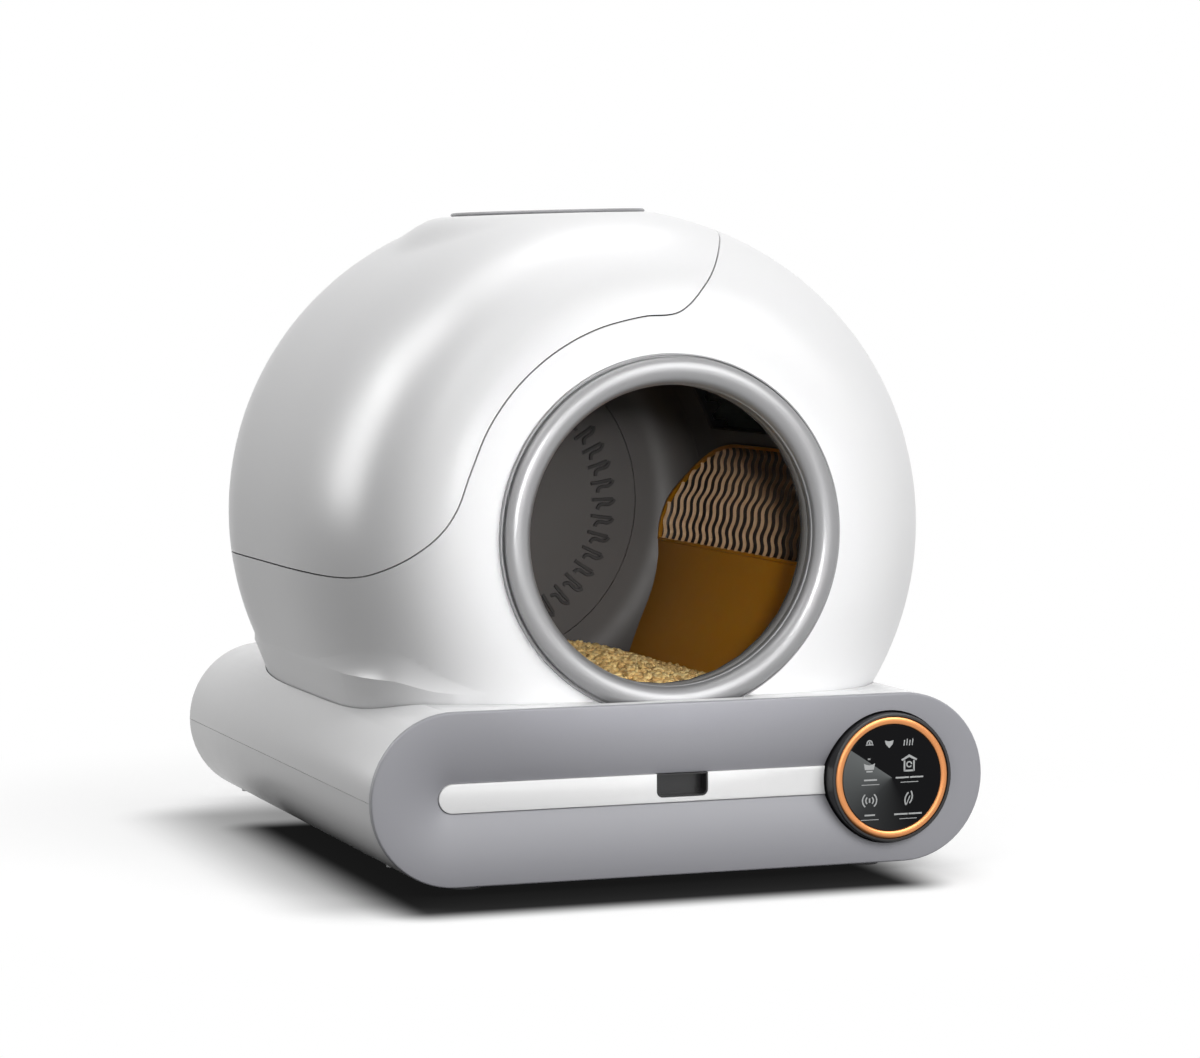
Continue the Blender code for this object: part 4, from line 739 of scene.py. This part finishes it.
rear_outline = rear_out + [(0.1483, drum_length), (0.1483, drum_length - drum_wall)] + rear_in[::-1]
rear = spun("drum_rear_shell", rear_outline, drum_place, 160)
dressed(rear, drum_dark, "drum", "drum_plastic", "drum_rear_ring")
disc_face = drum_length - drum_wall
disc_outline = [(0, disc_face), (0.1475, disc_face), (0.148, disc_face + 0.0005)]
disc_outline += [(0.148, drum_length), (0, drum_length)]
disc = spun("drum_back_disc", disc_outline, drum_place, 128)
dressed(disc, drum_dark, "drum", "drum_plastic", "drum_back")

# Painted shade: the ribs are coloured near-black, so that they read as the dark marks that shade makes on the
# disc.
rib_painted_shade = plastic("rib_painted_shade", (0.016, 0.014, 0.014), 0.5, drift=0.1)
rib_count, rib_ring_radius = 43, 0.104
straight_arm = [(0.0, 0.0), (0.010, 0.0), (0.0205, 0.0004)]
curved_arm = [(0.0052, -0.0096), (0.0066, -0.0062), (0.0098, -0.0045), (0.0165, -0.0048), (0.0205, -0.0028)]
curved_arm.append((0.0225, 0.0))


def joined(name, pieces):
    """One object made of several."""
    fresh()
    for piece in pieces:
        piece.select_set(True)
    bpy.context.view_layer.objects.active = pieces[0]
    bpy.ops.object.join()
    bpy.context.object.name = bpy.context.object.data.name = name
    return bpy.context.object


ribs = []
for arm in (straight_arm, curved_arm):
    line = smooth_line([Vector(point) for point in arm], 5)
    rings = []
    for along, half in ((0.0003, 0.0016), (-0.0018, 0.0016), (-0.0022, 0.0012)):
        sides = beside(line, half) + beside(line, -half)[::-1]
        rings.append([(rib_ring_radius + point.x, disc_face + along, point.y) for point in sides])
    rib = lofted("drum_rib", rings)
    for i in range(rib_count):
        each = rib.copy()
        each.data = rib.data.copy()
        bpy.context.collection.objects.link(each)
        each.data.transform(Matrix.Translation(drum_place) @ Matrix.Rotation(2 * pi * i / rib_count, 4, "Y"))
        ribs.append(each)
    bpy.data.objects.remove(rib)
dressed(joined("drum_rib_ring", ribs), rib_painted_shade, "drum", "drum_plastic")

# The scoop and the sieve: one curved partition along the drum, of translucent amber plastic, plain below.
# Above it is a frame with rounded corners that holds two dozen thin bars, each moulded in a wave.
sieve_foot = (0.853, -0.196)
scoop_marks = [(0.610, -0.790), (0.667, -0.725), (0.740, -0.588), (0.814, -0.426), (0.848, -0.289), sieve_foot]
sieve_marks = [sieve_foot, (0.863, -0.103), (0.888, 0.010), (0.930, 0.110), (0.955, 0.200), (0.958, 0.285)]
amber_colour = (0.52, 0.21, 0.004)
amber = plastic("amber", amber_colour, 0.42, drift=0.10, spread=0.08, grain=900, relief=0.00003)
amber_tree = amber.node_tree
# Painted light: the amber is coloured lighter towards the mouth and darker towards the back disc, for the light
# that comes in at the mouth.
amber_place = node(amber_tree, "TexCoord").outputs["Object"]
amber_depth = {"Value": node(amber_tree, "SeparateXYZ", (amber_place,)).outputs["Y"]}
amber_depth.update({"From Min": drum_front + 0.08, "From Max": drum_back, "To Min": 1.5, "To Max": 0.45})
painted_mouth_light = node(amber_tree, "MapRange", amber_depth).outputs["Result"]
amber_painted_light_tone = node(amber_tree, "VectorMath", {0: amber_colour, "Scale": painted_mouth_light}, operation="SCALE")
for step in amber_tree.nodes:
    if step.type == "GROUP":
        feed(step, {"Colour": amber_painted_light_tone.outputs["Vector"]})
glow_through = {"Subsurface Weight": 0.25, "Subsurface Radius": (0.010, 0.004, 0.001)}
feed(amber_tree.nodes["Principled BSDF"], {"Specular IOR Level": 0.25, **glow_through})
tan_bars = plastic("tan_bars", (0.42, 0.27, 0.15), 0.4, drift=0.08, spread=0.08, grain=1200)


def partition(marks):
    return smooth_line([Vector(mark) * inner for mark in marks], 8)


def partition_sheet(name, line, thickness):
    outline = beside(line, thickness / 2) + beside(line, -thickness / 2)[::-1]
    ends = (drum_front - 0.01, drum_back + 0.01)
    return prism(name, [(point.x, axis_z + point.y) for point in outline], ends)


def drum_space(clearance=0.0003):
    """The room inside the drum, less a clearance."""
    low, high = drum_line(-drum_wall - clearance)
    closed = [(0, low[0][1] + 0.0005)] + low + high + [(0, high[-1][1])]
    return spun("drum_space", closed, drum_place, 160)


scoop_line = partition(scoop_marks)
scoop = partition_sheet("scoop_wall", scoop_line, 0.0025)
carve(scoop, drum_space(), "INTERSECT")
carve(scoop, box_between("over", (0, front, axis_z + scoop_line[-1].y - 0.0003), (far, far, far)))
dressed(scoop, amber, "drum", "amber_plastic", "scoop")

sieve_line = partition(sieve_marks)
sieve_low, sieve_high = axis_z + sieve_line[0].y, axis_z + sieve_line[-1].y
sieve_near, sieve_far = drum_front + nose, drum_back - drum_wall - 0.0003


def sieve_window(name, inset, below=0.0):
    low, high, near, distant = sieve_low + below, sieve_high - inset, sieve_near + inset, sieve_far - inset
    rise = 0.092 - inset
    points = [(near, low), (distant, low)]
    for start, y, turn in ((0, distant, 0.150 - inset), (pi / 2, near, -0.060 + inset)):
        for i in range(17):
            angle = start + pi / 2 * i / 16
            points.append((y - turn + abs(turn) * cos(angle), high - rise + rise * sin(angle)))
    return lofted(name, [[(x, y, z) for y, z in points] for x in (inner / 2, inner + 0.01)])


frame_piece = partition_sheet("sieve_frame", sieve_line, 0.004)
carve(frame_piece, sieve_window("outline", 0.0003, 0.0003), "INTERSECT")
carve(frame_piece, sieve_window("opening", 0.0032, 0.0026))
carve(frame_piece, drum_space(), "INTERSECT")
dressed(frame_piece, amber, "drum", "sieve_plastic", "sieve")

bar_count, bar_half, bar_taper = 24, 0.00055, 0.6
bar_pitch = (sieve_far - sieve_near - 0.010) / bar_count
bars = []
for i in range(bar_count):
    y = sieve_near + 0.005 + bar_pitch * (i + 0.5)
    rings = []
    for k, (left, right) in enumerate(zip(beside(sieve_line, 0.0016), beside(sieve_line, -0.0016))):
        swing = cos(pi * k / 4)
        sway = 0.00225 * (1.25 * swing - 0.25 * swing**3)
        section = []
        for n, (point, side) in enumerate(((left, -0.6), (left, 0.6), (right, 0.6), (right, -0.6))):
            inward = (left + right) / 2 + (point - (left + right) / 2) * bar_taper
            first, second = (point, side * bar_half), (inward, side * bar_half / bar_taper)
            for mark, wide in ((second, first) if n % 2 == 0 else (first, second)):
                section.append((mark.x, y + sway + wide, axis_z + mark.y))
        rings.append(section)
    bars.append(lofted("sieve_bar", rings))
bar_set = joined("sieve_bars", bars)
carve(bar_set, sieve_window("bar_room", 0.0022, 0.0012), "INTERSECT")
dressed(bar_set, tan_bars, "drum", "sieve_plastic", sharp=40)

# Litter: a bed of short pressed plant pellets. The bed is one form with a lumpy surface, and the top layer is
# loose pellets, one modelled and the others copies of its mesh.
heap_marks = [(-1.05, -0.715), (-0.60, -0.690), (-0.20, -0.672), (0.15, -0.655), (0.42, -0.672), (0.600, -0.712)]
heap_line = smooth_line([Vector(mark) * inner for mark in heap_marks], 12)
heap_outline = [(point.x, axis_z + point.y) for point in heap_line[::-1]]
heap_outline += [(point.x, axis_z - inner - 0.01) for point in (heap_line[0], heap_line[-1])]
heap_ends = [drum_front - 0.01 + (drum_length + 0.02) * i / 60 for i in range(61)]
bed = prism("litter_heap", heap_outline, heap_ends)
carve(bed, drum_space(0.001), "INTERSECT")
carve(bed, box_between("rib_room", (-far, drum_back - drum_wall - 0.0035, 0), (far, back, base_top)))


def ramp(tree, factor, stops):
    """A colour ramp through (position, colour) stops."""
    made = node(tree, "ValToRGB", (factor,))
    elements = made.color_ramp.elements
    for element, (position, colour) in zip(elements, (stops[0], stops[-1])):
        element.position = position
        element.color = colour
    for position, colour in stops[1:-1]:
        elements.new(position).color = colour
    return made.outputs["Color"]


def pellet_finish():
    """Pressed plant fibre: each pellet has its own tone, with fine streaks and a dry rough surface."""
    material = bpy.data.materials.new("litter_pellets")
    material.use_nodes = True
    tree = material.node_tree
    place = node(tree, "TexCoord").outputs["Object"]
    cells = node(tree, "TexVoronoi", {"Vector": place, "Scale": 230}).outputs["Color"]
    chosen = node(tree, "SeparateColor", (cells,)).outputs["Red"]
    straw = ((0.0, (0.55, 0.31, 0.10, 1)), (0.45, (0.95, 0.64, 0.24, 1)), (1.0, (0.97, 0.76, 0.36, 1)))
    tones = ramp(tree, chosen, straw)
    fibre = node(tree, "TexNoise", {"Vector": place, "Scale": 1500, "Detail": 4}).outputs
    streaks = {"Factor": 0.35, "A": tones, "B": fibre["Color"]}
    mixed = node(tree, "Mix", streaks, data_type="RGBA", blend_type="MULTIPLY").outputs["Result"]
    rough = node(tree, "MapRange", {"Value": fibre["Fac"], "To Min": 0.75, "To Max": 0.98}).outputs["Result"]
    normal = node(tree, "Bump", {"Height": fibre["Fac"], "Strength": 0.6, "Distance": 0.0006}).outputs["Normal"]
    feed(tree.nodes["Principled BSDF"], {"Base Color": mixed, "Roughness": rough, "Normal": normal})
    return material


pellet_tan = pellet_finish()
dressed(bed, pellet_tan, "drum", "litter", "litter_bed")

fresh()
bpy.ops.mesh.primitive_uv_sphere_add(segments=6, ring_count=4, radius=1)
pellet = bpy.context.object
for vert in pellet.data.vertices:
    swell = 0.0019 / max(sqrt(vert.co.x**2 + vert.co.y**2), 0.6)
    vert.co = (vert.co.x * swell, vert.co.y * swell, vert.co.z * 0.0046)
chance = random.Random(7)
layer = bmesh.new()
pellet_count = 3600
heap_right = 0.112
for i in range(pellet_count):
    y = chance.uniform(drum_front + 0.010, drum_back - 0.012)
    k = chance.uniform(0, len(heap_line) - 1.001)
    point = heap_line[int(k)].lerp(heap_line[int(k) + 1], k - int(k))
    depth = y - drum_front
    reach = inner - 0.006
    if depth < nose:
        reach = mouth_radius + (inner - mouth_radius) * sqrt(max(0.0, 1 - (1 - depth / nose) ** 2)) - 0.006
    if depth > drum_length - corner:
        reach = inner - corner + sqrt(max(0.0, corner**2 - (depth - drum_length + corner) ** 2)) - 0.008
    if point.length > reach or point.x > heap_right:
        continue
    count = len(layer.verts)
    layer.from_mesh(pellet.data)
    layer.verts.ensure_lookup_table()
    new_verts = layer.verts[count:]
    turn = Matrix.Rotation(chance.uniform(0, pi), 4, "Z")
    tilt = Matrix.Rotation(pi / 2 + chance.uniform(-0.35, 0.35), 4, "X")
    size = Matrix.Diagonal((1, 1, chance.uniform(0.7, 1.25), 1))
    lift = chance.uniform(-0.0008, 0.0022)
    place = Matrix.Translation((point.x, y, axis_z + point.y + lift))
    bmesh.ops.transform(layer, matrix=place @ (turn @ tilt) @ size, verts=new_verts)
loose = bpy.data.meshes.new("litter_pellets")
layer.to_mesh(loose)
layer.free()
bpy.data.objects.remove(pellet)
pellets = bpy.data.objects.new("litter_pellets", loose)
bpy.context.collection.objects.link(pellets)
dressed(pellets, pellet_tan, "drum", "litter", sharp=60)

# The drawer front: a pill of satin lavender-grey ABS, dished from its rim down to a long slot, with a boss
# behind it and a round hole for the touch disc.
fascia_grey = plastic("fascia_grey", (0.335, 0.335, 0.362), 0.42, drift=0.02, spread=0.05, grain=1600)
control_x, control_z = 0.180, 0.0781
face_rings = [pill(0.0575, front + 0.015), pill(0.0575, front + 0.027), pill(0.060, front + 0.027)]
face_rings += [pill(0.060, front + 0.006), pill(0.0696, front + 0.006), pill(0.070, front + 0.0056)]
for i in range(6):
    angle = pi / 2 * i / 5
    face_rings.append(pill(0.070 - 0.0016 * (1 - cos(angle)), front + 0.0016 * (1 - sin(angle))))
for i in range(21):
    share = i / 20
    face_rings.append(pill(0.058 - (0.058 - 0.0125) * share, front + 0.009 * share**2.1))
face_rings += [pill(0.0121, front + 0.0093), pill(0.0120, front + 0.0098), pill(0.0120, front + 0.0125)]
fascia = lofted("drawer_fascia", face_rings)


def disc_hole():
    start, end = (control_x, front - 0.01, control_z), (control_x, front + 0.037, control_z)
    return pin_between("disc_hole", 0.0552, start, end, 96)


def recess_form(name, low, high, grow, y_low, y_high):
    """The finger recess from the front: square at the top, rounded below."""
    half, turn = 0.022 + grow, 0.0048 + grow
    points = [(half, high), (-half, high)]
    for side, start in ((-1, pi), (1, 1.5 * pi)):
        for i in range(9):
            angle = start + pi / 2 * i / 8
            points.append((side * (half - turn) + turn * cos(angle), low + turn + turn * sin(angle)))
    return prism(name, points, (y_low, y_high))


carve(fascia, disc_hole())
carve(fascia, bore_between("notch_relief", 0.1537, -0.2846, front + 0.037, 160))
strip_front, pull_back = front + 0.0075, -0.2779
carve(fascia, recess_form("pull_room", 0.0694, 0.0890, 0.0003, strip_front, pull_back + 0.01))
dressed(fascia, fascia_grey, "drawer", "fascia_grey", "drawer_front")

# The strip in the slot is white gloss ABS, and the finger pull is a black cup let into its upper edge.
strip_rings = [pill(0.0117, front + 0.0122), pill(0.0117, strip_front + 0.0008)]
strip_rings += [pill(0.0115, strip_front + 0.0002), pill(0.0110, strip_front)]
strip = lofted("fascia_strip", strip_rings)
carve(strip, disc_hole())
carve(strip, recess_form("pull_room", 0.0694, 0.0990, 0.0003, front - 0.01, pull_back + 0.01))
strip_white = plastic("strip_white", (0.95, 0.95, 0.95), 0.24, drift=0.01, spread=0.04)
dressed(strip, strip_white, "drawer", "white_strip", "drawer_strip")

black_gloss = plastic("black_gloss", (0.013, 0.013, 0.014), 0.3, drift=0.1, spread=0.08, grain=1500)
pull = recess_form("finger_cup", 0.0697, 0.0887, 0.0, strip_front, pull_back)
carve(pull, recess_form("cup_room", 0.0709, 0.0875, -0.0012, front - 0.01, pull_back - 0.0012))
dressed(pull, black_gloss, "drawer", "black_plastic", "finger_pull")

# The waste tray: a thin grey polypropylene tub with a rolled lip and a soft fillet all round its floor.
tray_grey = plastic("tray_grey", (0.50, 0.50, 0.51), 0.46, drift=0.04, spread=0.08, grain=1300, relief=0.00004)


def tray_ring(inset, z, steps=10):
    x_low, x_high, y_low, y_high = -0.205 + inset, 0.112 - inset, -0.2711 + inset, 0.1209 - inset
    turn = 0.020 - inset
    points = []
    for x, y, start in ((x_high, y_high, 0), (x_low, y_high, 1), (x_low, y_low, 2), (x_high, y_low, 3)):
        middle_x = x - turn if x == x_high else x + turn
        middle_y = y - turn if y == y_high else y + turn
        for i in range(steps + 1):
            angle = pi / 2 * (start + i / steps)
            points.append((middle_x + turn * cos(angle), middle_y + turn * sin(angle), z))
    return points


tray_steps = [(0.0086, 0.0125), (0.0068, 0.0130), (0.0060, 0.0146), (0.0035, 0.0618), (0.0003, 0.0618)]
tray_steps += [(0.0, 0.0621), (0.0, 0.0649), (0.0004, 0.0653), (0.0050, 0.0653), (0.0056, 0.0648)]
tray_steps += [(0.0080, 0.0180), (0.0088, 0.0156), (0.0112, 0.0145)]
tub = lofted("waste_tub", [tray_ring(inset, z) for inset, z in tray_steps])
dressed(tub, tray_grey, "drawer", "tray_plastic", "drawer_tray")

# The touch disc: a black cup on a pedestal, a polished copper-coloured ring and a black glass panel that
# carries light marks. The glass has a painted reflection: grey at a sharp line, fading round to black.
control_front = front - 0.0072
control_place = (control_x, control_front, control_z)
cup_outline = [(0.0537 - 0.0012 * (1 - sin(pi / 8 * i)), 0.0012 - 0.0012 * cos(pi / 8 * i)) for i in range(5)]
cup_outline += [(0.0537, 0.040), (0, 0.040), (0, 0.037), (0.0425, 0.037), (0.0425, 0.0034), (0.0508, 0.0034)]
cup_outline += [(0.0508, 0.0004), (0.0511, 0.0)]
cup = spun("control_cup", cup_outline, control_place, 128)
foot_low, foot_high = (control_x - 0.013, front + 0.0273), (control_x + 0.013, control_front + 0.040)
carve(cup, box_between("pedestal", (*foot_low, 0.0103), (*foot_high, 0.0513)), "UNION")
dressed(cup, black_gloss, "base", "black_plastic", "control_housing")

bead = [(0.04740 - 0.0031 * cos(pi * i / 12), 0.0014 - 0.0014 * sin(pi * i / 12)) for i in range(13)]
bead = [(0.0443, 0.0025)] + bead + [(0.0505, 0.0025)]
copper_ring = spun("control_bezel", bead, control_place, 160)
copper = plastic("copper", (0.66, 0.27, 0.10), 0.30, drift=0.03, spread=0.08, grain=1800, metallic=0.85)
dressed(copper_ring, copper, "base", "copper_trim", "control_trim")

glass_black = plastic("glass_black", (0.006, 0.006, 0.007), 0.05, drift=0.0, spread=0.02, grain=500, bump=0.02)
glass_tree = glass_black.node_tree
glass_place = node(glass_tree, "TexCoord").outputs["Object"]
facing = {"Vector": glass_place, "Location": control_place, "Rotation": (radians(90), 0, 0)}
glass_facing = node(glass_tree, "Mapping", facing, vector_type="TEXTURE").outputs[0]
glass_turn = node(glass_tree, "Mapping", {"Vector": glass_facing, "Rotation": (0, 0, radians(33))}).outputs[0]
# Painted reflection: a radial sweep in the glass colour, grey at a sharp line and fading round to black.
painted_reflection_sweep = node(glass_tree, "TexGradient", (glass_turn,), gradient_type="RADIAL").outputs["Fac"]
reflection_grey, reflection_dim, night = (0.155, 0.165, 0.165, 1), (0.040, 0.042, 0.043, 1), (0.004, 0.004, 0.005, 1)
painted_reflection = ramp(glass_tree, painted_reflection_sweep, ((0.0, reflection_grey), (0.22, reflection_dim), (0.42, night)))
feed(glass_tree.nodes["Principled BSDF"], {"Base Color": painted_reflection, "Specular IOR Level": 0.08})
panel_outline = [(0, 0.0006), (0.0437, 0.0006), (0.0441, 0.0010), (0.0441, 0.0025), (0, 0.0025)]
panel = spun("control_panel", panel_outline, control_place, 128)
dressed(panel, glass_black, "base", "black_glass", "control_glass")

mark_face = control_front + 0.0006
marks = []


def mark(points):
    """One flat printed shape on the glass, from points in millimetres about the disc's middle."""
    outline = [(control_x + x / 1000, control_z + z / 1000) for x, z in points]
    marks.append(prism("mark", outline, (mark_face + 0.0001, mark_face - 0.00008)))


def bar_mark(x, z, width, height, lean=0.0):
    half, low, high = width / 2, z - height / 2, z + height / 2
    mark([(x - half - lean, low), (x + half - lean, low), (x + half + lean, high), (x - half + lean, high)])


def arc_mark(x, z, radius, start, end, width):
    angles = [radians(start + (end - start) * i / 10) for i in range(11)]
    edges = []
    for edge, along in ((radius + width / 2, angles), (radius - width / 2, angles[::-1])):
        edges += [(x + edge * cos(a), z + edge * sin(a)) for a in along]
    mark(edges)


bar_mark(-20.4, 28.0, 6.6, 0.9)
arc_mark(-20.4, 29.2, 2.3, -10, 190, 1.0)
bar_mark(-20.4, 29.4, 1.2, 2.2)
mark([(-6.6, 31.0), (-2.7, 30.2), (1.2, 31.0), (0.4, 27.8), (-2.7, 24.6), (-5.8, 27.8)])
for i in range(4):
    bar_mark(10.9 + 2.5 * i, 28.4 + 0.5 * (i % 2), 0.9, 4.6 + 0.8 * (i % 2), 0.3)
mark([(-25.4, 12.6), (-24.6, 7.4), (-16.6, 7.4), (-15.4, 12.6), (-17.6, 11.6), (-20.5, 11.0), (-23.2, 11.6)])
bar_mark(-20.4, 5.9, 5.6, 1.2)
bar_mark(-20.8, 16.2, 2.2, 1.2)
mark([(8.2, 14.6), (15.5, 18.6), (22.8, 14.6), (21.8, 13.4), (15.5, 16.4), (9.2, 13.4)])
bar_mark(11.2, 9.2, 1.4, 9.0)
bar_mark(19.8, 9.2, 1.4, 9.0)
bar_mark(15.5, 5.2, 8.6, 1.4)
arc_mark(15.5, 10.4, 2.2, 0, 330, 1.1)
for radius, span in ((3.4, 50), (6.4, 52)):
    arc_mark(-20.2, -18.1, radius, -span, span, 1.1)
    arc_mark(-20.2, -18.1, radius, 180 - span, 180 + span, 1.1)
bar_mark(-20.2, -18.1, 1.3, 3.6)
arc_mark(10.6, -16.0, 7.8, -48, 32, 1.2)
arc_mark(19.6, -19.4, 7.8, 126, 208, 1.2)
bar_mark(14.6, -19.6, 0.9, 7.6, 1.7)
for x, z, width in ((-19.5, -1.2, 11.6), (15.8, -0.3, 26.0), (-20.0, -30.3, 9.4), (14.7, -30.6, 26.0)):
    pieces = max(1, round(width / 13))
    for i in range(pieces):
        bar_mark(x + width * ((i + 0.5) / pieces - 0.5), z, width / pieces - (0.9 if pieces > 1 else 0), 1.3)
    bar_mark(x, z - 3.9, 16.0, 0.55)
mark_print = plastic("mark_print", (0.46, 0.47, 0.47), 0.4, drift=0.12)
dressed(joined("panel_marks", marks), mark_print, "base", "white_strip", sharp=0)

# Parts that stay as the solids are: the drive, the deck with its rollers, fasteners, boards, inlet and seals.
# Each gets the finish of what it is made of.
deck_dark = plastic("deck_dark", (0.19, 0.19, 0.20), 0.5, drift=0.06, spread=0.1, grain=1200, relief=0.00005)
gear_nylon = plastic("gear_nylon", (0.035, 0.035, 0.037), 0.5, drift=0.06, spread=0.1, grain=1000, relief=0.00004)
pinion_acetal = plastic("pinion_acetal", (0.62, 0.61, 0.57), 0.36, drift=0.05, spread=0.08, grain=1100)
screw_steel = plastic("screw_steel", (0.58, 0.59, 0.61), 0.3, drift=0.08, spread=0.2, grain=700, metallic=1.0)
roller_rubber = plastic(
    "roller_rubber", (0.035, 0.035, 0.036), 0.8, drift=0.1, spread=0.12, grain=2400, relief=0.00006
)
board_green = plastic("board_green", (0.02, 0.11, 0.06), 0.45, drift=0.15, spread=0.15, grain=420, relief=0.00012)
seal_felt = plastic(
    "seal_felt", (0.035, 0.034, 0.034), 0.95, drift=0.25, spread=0.08, grain=3200, relief=0.0003, bump=0.8
)
filter_foam = plastic(
    "filter_foam", (0.045, 0.045, 0.047), 0.95, drift=0.3, spread=0.05, grain=900, relief=0.0008, bump=1.0
)
inlet_black = plastic("inlet_black", (0.02, 0.02, 0.021), 0.4, drift=0.1)
kept = dict(
    inner_deck=deck_dark, gearbox=deck_dark, drum_gear=gear_nylon, drive_pinion=pinion_acetal,
    drive_motor=screw_steel, main_board=board_green, touch_board=board_green, mouth_seal=seal_felt,
    odour_filter=filter_foam, power_inlet=inlet_black, hinge_pin_front=pin_metal, hinge_pin_rear=pin_metal,
)
for label in corner_labels:
    kept["base_screw_" + label] = kept["roller_axle_" + label] = screw_steel
    kept["roller_" + label] = roller_rubber
for name, finish in kept.items():
    for holder in bpy.data.objects[name].material_slots:
        holder.material = finish
